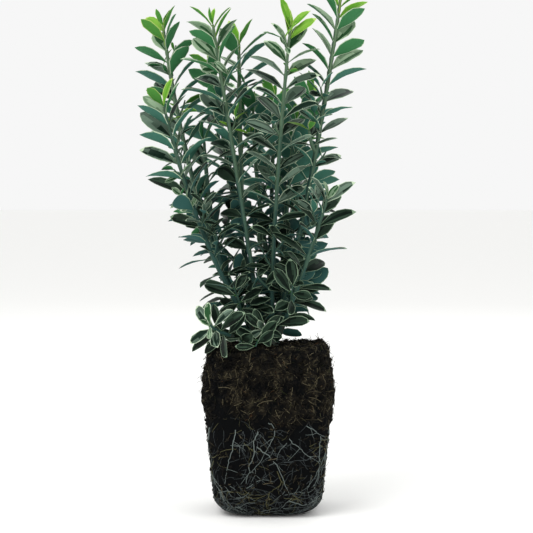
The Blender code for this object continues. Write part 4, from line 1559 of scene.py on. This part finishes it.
def bark_material(settings):
    """Young grey-green bark, smooth and dull, with fine lengthwise lines and paler patches."""
    made = new_material("grey_green_bark", settings.low, BARK_ROUGHNESS)
    tree = made.node_tree
    shader = tree.nodes["Principled BSDF"]
    place = add_node(tree, "ShaderNodeTexCoord").outputs["Object"]
    stretched = add_node(tree, "ShaderNodeMapping", {"Scale": (1, 1, BARK_STRETCH)}, {"Vector": place})
    lines = add_node(
        tree, "ShaderNodeTexNoise", {"Scale": pattern_scale(BARK_LINE), "Detail": BARK_LINE_DETAIL},
        {"Vector": stretched.outputs["Vector"]},
    ).outputs["Fac"]
    tint = ramp(tree, lines, (BARK_LINES_FROM, settings.old), (BARK_LINES_FULL, settings.low))
    tree.links.new(tint, shader.inputs["Base Color"])
    bump = add_node(
        tree, "ShaderNodeBump", {"Strength": BARK_STRENGTH, "Distance": BARK_RELIEF * MM}, {"Height": lines}
    )
    tree.links.new(bump.outputs["Normal"], shader.inputs["Normal"])
    return made


def woody_crown(settings):
    """The furrowed woody crown on the soil, as rings from its foot to the top of its dome."""
    foot = BALL_TOP - CROWN_DEPTH
    flare = CROWN_FOOT_RADIUS + CROWN_FLARE
    waist_height = BALL_TOP + GAP + CROWN_WAIST_HEIGHT
    profile = [(flare, foot)]
    for step in range(1, CROWN_STEPS + 1):
        share = step / CROWN_STEPS
        curve = 1 - (1 - share) ** 2
        profile.append((
            flare + (CROWN_WAIST_RADIUS - flare) * curve, foot + (waist_height - foot) * share
        ))
    for step in range(CROWN_STEPS):
        turn = math.radians(90 * step / CROWN_STEPS)
        height = crown_head_centre().z + CROWN_HEAD_RADIUS * math.sin(turn)
        profile.append((max(POLE_RADIUS, CROWN_HEAD_RADIUS * math.cos(turn)), height))
    rings = []
    for radius, height in profile:
        ring = []
        for side in range(CROWN_SIDES):
            out = heading(360 * side / CROWN_SIDES)
            furrow = sum(
                depth * noise.noise(Vector((out.x * number, out.y * number, height * change)))
                for depth, number, change in FURROWS
            )
            relief = settings.furrows / MM * furrow * min(1, radius / FURROWS_FULL_AT)
            ring.append(out * (radius + relief) + UP * height)
        rings.append(ring)
    return rings


class EUONYMUS_OT_bark(bpy.types.Operator):
    """Build the woody crown and the bare feet of the stems, with the relief of their bark"""

    bl_idname = "euonymus.bark"
    bl_label = "Woody crown and bare stems"

    def execute(self, context):
        settings = context.scene.euonymus_bark
        boughs, _, _ = grown_crown()
        points, faces = stacked(woody_crown(settings))
        rng = random.Random(SEED + 2)
        for limb in boughs:
            new_points, new_faces = stacked(
                barked_limb(
                    limb, -BARK_DEPTH, limb.start + BARK_OVERLAP, BARK_SIDES, BARK_STEP, settings, rng
                )
            )
            base = len(points)
            points = points + new_points
            faces = faces + [tuple(base + i for i in face) for face in new_faces]
        bark = mesh_object("bark", points, faces, [bark_material(settings)])
        finish_piece(bark, "young_bark", "trunk", *(f"stem_{shoot.place}" for shoot in SHOOTS))
        return {"FINISHED"}


def blend_colours(a, b, share):
    """The colour at this share of the way from one colour to another."""
    return tuple(x + (y - x) * share for x, y in zip(a, b))


def height_share(height):
    """How far up the crown this height is, from 0 at the compost to 1 at the highest tip."""
    return (height - BALL_TOP) / (CAD_BOX[1].z / MM - BALL_TOP)


class EUONYMUS_OT_twigs(bpy.types.Operator):
    """Build the leafy stems, their side twigs and the short shoots in the leaf axils"""

    bl_idname = "euonymus.twigs"
    bl_label = "Twigs"

    def execute(self, context):
        settings = context.scene.euonymus_bark
        _, twigs, _ = grown_crown()
        # Green stem skin: smooth and satin, darker low down and fresh green at the tip.
        finishes = []
        for tint in range(STEM_TINTS):
            share = tint / (STEM_TINTS - 2)
            colour = settings.tip if share > 1 else blend_colours(settings.low, settings.high, share)
            finishes.append(new_material(f"stem_skin_{tint}", tuple(colour), SKIN_ROUGHNESS, SKIN_SPECULAR))
        rng = random.Random(SEED + 3)
        points, faces, slots = [], [], []
        for limb in twigs:
            new_points, new_faces = stacked(
                barked_limb(limb, limb.start, limb.route.length, STEM_SIDES, STEM_STEP, settings, rng)
            )
            base = len(points)
            stripes = [rng.uniform(-STRIPE_TINTS, STRIPE_TINTS) for _ in range(STEM_SIDES)]
            for index, face in enumerate(new_faces):
                share = max(0, height_share(new_points[face[0]].z))
                tint = share**TINT_POWER * (STEM_TINTS - 1) + TINT_START + stripes[index % STEM_SIDES]
                slots.append(min(STEM_TINTS - 1, max(0, int(tint))))
                faces.append(tuple(base + i for i in face))
            points += new_points
        obj = mesh_object("twigs", points, faces, finishes, slots)
        finish_piece(obj, "young_bark", *(f"foliage_{shoot.place}" for shoot in SHOOTS))
        return {"FINISHED"}


def leaf_faces(rows):
    """Faces of a closed leaf over its rows of points: (face, part, row)."""
    faces = [(tuple(reversed(range(ROW_POINTS))), STALK, 0)]
    tip = rows * ROW_POINTS
    for row in range(rows):
        a, b = row * ROW_POINTS, (row + 1) * ROW_POINTS
        for i, part in enumerate(RING_PARTS):
            j = (i + 1) % ROW_POINTS
            face = (a + i, tip, a + j) if b == tip else (a + i, b + i, b + j, a + j)
            faces.append((face, part, row))
    return faces


def leaf_points(leaf, rows, settings, rng):
    """Points of one leaf in its own place: folded, crowned, wavy, toothed and bent down at its tip."""
    length, half = leaf.length, leaf.width / 2
    margin = settings.margin / MM * rng.uniform(*MARGINS) * min(1, length / FULL_MARGIN_AT)
    recurve = settings.recurve * rng.uniform(*RECURVES)
    fold = settings.fold * rng.uniform(*FOLDS)
    sweep = rng.uniform(-SWEEP, SWEEP)
    twist = rng.uniform(-TWIST, TWIST)
    wave_phase, wave_height = rng.uniform(0, WAVE_PHASE), rng.uniform(*WAVE_HEIGHTS)
    tooth = settings.teeth / MM * min(1, length / FULL_TEETH_AT)

    def place(at, side):
        """The point at a share of the length, and this far to the side in mm."""
        out = abs(side) / half
        rise = fold * abs(side) * (FOLD_AT_RIB - FOLD_FLATTENING * out)
        rise += wave_height * out**2 * math.sin(WAVES * at + wave_phase + (side > 0) * WAVE_SHIFT)
        rise -= recurve * length * at**RECURVE_POWER
        turn = twist * at
        x = at * length * (1 - RECURVE_SHORTENING * at * recurve)
        y = side * math.cos(turn) - rise * math.sin(turn) * TWIST_LEAN + sweep * length * at**2
        return leaf.placing @ Vector((x, y, rise + side * math.sin(turn)))

    points = []
    for index, (at, share) in enumerate(rows):
        reach = half * share
        toothed = tooth * (1 if index % 2 else NOTCH) if at > TOOTHED_FROM else 0
        left, right = reach + toothed, reach + toothed * rng.uniform(*TEETH)
        inner_left, inner_right = (
            max(LEAST_CENTRE * rim, rim - margin * rng.uniform(*MARGIN_WAVER)) for rim in (left, right)
        )
        outer_streak, inner_streak = (
            inner_left * rng.uniform(*span) for span in (OUTER_STREAK, INNER_STREAK)
        )
        vein = inner_right * rng.uniform(*VEIN)
        for side in (-left, -inner_left, -outer_streak, -inner_streak, 0, vein, inner_right, right):
            points.append(place(at, side))
        body = leaf.placing.to_3x3() @ UP * (LEAF_BODY * (1 - BODY_TAPER * at))
        for side, depth in ((inner_right, BODY_AT_RIM), (0, 1), (-inner_left, BODY_AT_RIM)):
            points.append(place(at, side) - body * depth)
    points.append(place(1, 0))
    return points


def leaf_age(leaf, rng):
    """Which of the ages a leaf is: older low in the crown, youngest at the growing tips. The darker
    colours low down are partly painted shade, and the paler ones high up and far out partly painted
    light.
    """
    place = leaf.placing.translation
    # Higher leaves take the paler ages: partly real age, partly painted light high up and painted shade low
    # down.
    age = AGE_AND_PAINTED_SHADE_BY_HEIGHT * height_share(place.z) + rng.uniform(-AGE_JITTER, AGE_JITTER)
    if place.z > FRESH_FROM:
        age += YOUNG_TIP * leaf.share**YOUNG_TIP_POWER
    else:
        # A low leaf that stands further out is painted paler near its tip: painted light.
        lit = min(1, place.xy.length / LIT_REACH)
        age += LOW_TIP * lit * leaf.share**LOW_TIP_POWER
    return sum(age > limit for limit in AGE_LIMITS)


def streak_runs(rows, streaky, rng):
    """The colours of a leaf's upper faces, row by row, in streaks along the leaf."""
    runs = {}
    palest = len(STREAK_STEPS) - 1
    for part, (streaked, plain) in STREAK_STARTS.items():
        level = round(rng.uniform(0, 1) + plain + (streaked - plain) * streaky - 0.5)
        runs[part] = []
        for _ in range(rows):
            level = min(palest, max(0, level))
            runs[part].append(STREAK_STEPS[level])
            if rng.random() < STEP_CHANCE:
                level += rng.choice((-1, 1))
    return runs


def face_part(part, row, rows, runs, cream_tip):
    """Which colour one face of a leaf takes."""
    if part == UNDER:
        return UNDER
    if row == 0:
        return STALK
    if part == EDGE or (cream_tip and row == rows - 1):
        return EDGE
    return runs[part][row]


def leaf_finishes(settings):
    """Leathery leaf skin, satin above and matt below, in the plain colours of each age."""
    finishes = []
    for age in AGES:
        centre, streak = (getattr(settings, f"{age.name}_{part}") for part in ("centre", "streak"))
        margin, underside = getattr(settings, age.margin), getattr(settings, age.underside)
        dull = blend_colours(centre, streak, 0.5)
        stalk = blend_colours(streak, settings.young_underside, STALK_GREEN)
        for part, colour in zip(PART_NAMES, (centre, streak, dull, margin, underside, stalk)):
            rough = UNDERSIDE_ROUGHNESS if part == "underside" else LEAF_ROUGHNESS
            name = f"{age.name}_leaf_{part}"
            finishes.append(new_material(name, tuple(colour), rough, LEAF_SPECULAR))
    return finishes


def leaf_outline(leaf, low):
    """The rows of a leaf's outline: few on a small one, and rounder low in the crown."""
    if leaf.length < SMALL_LEAF:
        return SMALL_LEAF_ROWS
    return ROUND_LEAF_ROWS if low else LEAF_ROWS


class EUONYMUS_OT_leaves(bpy.types.Operator):
    """Build the leaves of every shoot, one piece for each mass of foliage"""

    bl_idname = "euonymus.leaves"
    bl_label = "Leaves"

    def execute(self, context):
        settings = context.scene.euonymus_leaf
        _, _, leaves = grown_crown()
        finishes = leaf_finishes(settings)
        patterns = {
            rows: leaf_faces(len(rows)) for rows in (LEAF_ROWS, ROUND_LEAF_ROWS, SMALL_LEAF_ROWS)
        }
        for number, shoot in enumerate(SHOOTS):
            rng = random.Random(LEAF_SEED + number)
            points, faces, slots, sharp = [], [], [], set()
            for leaf in leaves:
                if leaf.place != shoot.place:
                    continue
                low = leaf.placing.translation.z < ROUND_BELOW
                rows = leaf_outline(leaf, low)
                age = leaf_age(leaf, rng)
                streaky = rng.choice(STREAKINESS) * (LOW_STREAKS if low else 1)
                if age == YOUNG:
                    leaf = leaf._replace(width=leaf.width * YOUNG_SLIMNESS)
                cream_tip = rng.random() < CREAM_TIP_CHANCE
                runs = streak_runs(len(rows), streaky, rng)
                base = len(points)
                points += leaf_points(leaf, rows, settings, rng)
                for face, part, row in patterns[rows]:
                    faces.append(tuple(base + i for i in face))
                    part = face_part(part, row, len(rows), runs, cream_tip)
                    slots.append(age * len(PART_NAMES) + part)
                for rim in (0, UPPER_POINTS - 1):
                    line = [base + row * ROW_POINTS + rim for row in range(len(rows) + 1)]
                    line[-1] = base + len(rows) * ROW_POINTS
                    sharp |= {tuple(sorted(edge)) for edge in pairwise(line)}
            obj = mesh_object(f"leaves_{shoot.place}", points, faces, finishes, slots)
            edges = obj.data.attributes.new("sharp_edge", "BOOLEAN", "EDGE")
            edges.data.foreach_set(
                "value", [tuple(sorted(edge.vertices)) in sharp for edge in obj.data.edges]
            )
            finish_piece(obj, "variegated_leaf", f"foliage_{shoot.place}")
        return {"FINISHED"}


def soft_light(name, place, size, power):
    """A round area light that shines on the middle of the plant."""
    lamp = bpy.data.lights.new(name, "AREA")
    lamp.shape = "DISK"
    lamp.size = size
    lamp.energy = power
    obj = bpy.data.objects.new(name, lamp)
    obj.location = place
    obj.rotation_euler = (LIT_POINT - Vector(place)).to_track_quat("-Z", "Y").to_euler()
    bpy.context.scene.collection.objects.link(obj)


class EUONYMUS_OT_stage(bpy.types.Operator):
    """Set the pale floor, the soft light and the camera"""

    bl_idname = "euonymus.stage"
    bl_label = "Stage"

    def execute(self, context):
        settings = context.scene.euonymus_stage
        scene = context.scene
        for obj in list(bpy.data.objects):
            if obj.name in ("Cube", "Light", "Camera"):
                bpy.data.objects.remove(obj)
        reach = FLOOR_REACH / MM
        corners = [(x * reach, y * reach, 0) for x, y in ((-1, -1), (1, -1), (1, 1), (-1, 1))]
        finish = new_material("matt_floor", tuple(settings.floor), FLOOR_ROUGHNESS)
        floor = mesh_object("floor", corners, [(0, 1, 2, 3)], [finish])
        floor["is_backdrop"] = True
        world = bpy.data.worlds.new("soft_sky")
        world.use_nodes = True
        sky = world.node_tree.nodes["Background"]
        sky.inputs["Color"].default_value = (1, 1, 1, 1)
        sky.inputs["Strength"].default_value = settings.sky
        scene.world = world
        for name, place, size, power in LIGHTS:
            soft_light(name, place, size, getattr(settings, power))
        lens = bpy.data.cameras.new("camera")
        lens.sensor_width = SENSOR
        lens.lens = SENSOR * settings.camera_distance / (PICTURE_SIDE * PIXEL_MM * MM)
        camera = bpy.data.objects.new("camera", lens)
        centre = PICTURE_SIDE / 2
        aside = (centre - AXIS_COLUMN) * PIXEL_MM * MM
        camera.location = (aside, -settings.camera_distance, settings.camera_height)
        tilt = math.atan((centre - HORIZON_ROW) * PIXEL_MM * MM / settings.camera_distance)
        camera.rotation_euler = (math.pi / 2 - tilt, 0, 0)
        scene.collection.objects.link(camera)
        scene.camera = camera
        scene.view_settings.view_transform = "Standard"
        return {"FINISHED"}


OPERATORS = (
    EUONYMUS_OT_compost,
    EUONYMUS_OT_compost_fibres,
    EUONYMUS_OT_roots,
    EUONYMUS_OT_bark,
    EUONYMUS_OT_twigs,
    EUONYMUS_OT_leaves,
    EUONYMUS_OT_stage,
)
SETTINGS = (
    ("euonymus_ball", RootBallSettings),
    ("euonymus_bark", BarkSettings),
    ("euonymus_leaf", LeafSettings),
    ("euonymus_stage", StageSettings),
)


class EUONYMUS_PT_panel(bpy.types.Panel):
    """The plant's settings and the steps that build it"""

    bl_idname = "EUONYMUS_PT_panel"
    bl_label = "Euonymus"
    bl_space_type = "VIEW_3D"
    bl_region_type = "UI"
    bl_category = "Euonymus"

    def draw(self, context):
        for operator in OPERATORS:
            self.layout.operator(operator.bl_idname)
        for name, group in SETTINGS:
            box = self.layout.box()
            for key in group.__annotations__:
                box.prop(getattr(context.scene, name), key)


def register():
    for _, group in SETTINGS:
        bpy.utils.register_class(group)
    for name, group in SETTINGS:
        setattr(bpy.types.Scene, name, bpy.props.PointerProperty(type=group))
    for cls in (*OPERATORS, EUONYMUS_PT_panel):
        bpy.utils.register_class(cls)


def unregister():
    for cls in (EUONYMUS_PT_panel, *reversed(OPERATORS)):
        bpy.utils.unregister_class(cls)
    for name, group in reversed(SETTINGS):
        delattr(bpy.types.Scene, name)
        bpy.utils.unregister_class(group)


def main():
    register()
    bpy.ops.euonymus.compost()
    bpy.ops.euonymus.compost_fibres()
    bpy.ops.euonymus.roots()
    bpy.ops.euonymus.bark()
    bpy.ops.euonymus.twigs()
    bpy.ops.euonymus.leaves()
    bpy.ops.euonymus.stage()
    boxes = {"cad": CAD_BOX, "visual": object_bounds()}
    {name: [list(corner) for corner in box] for name, box in boxes.items()}


if __name__ == "__main__":
    main()
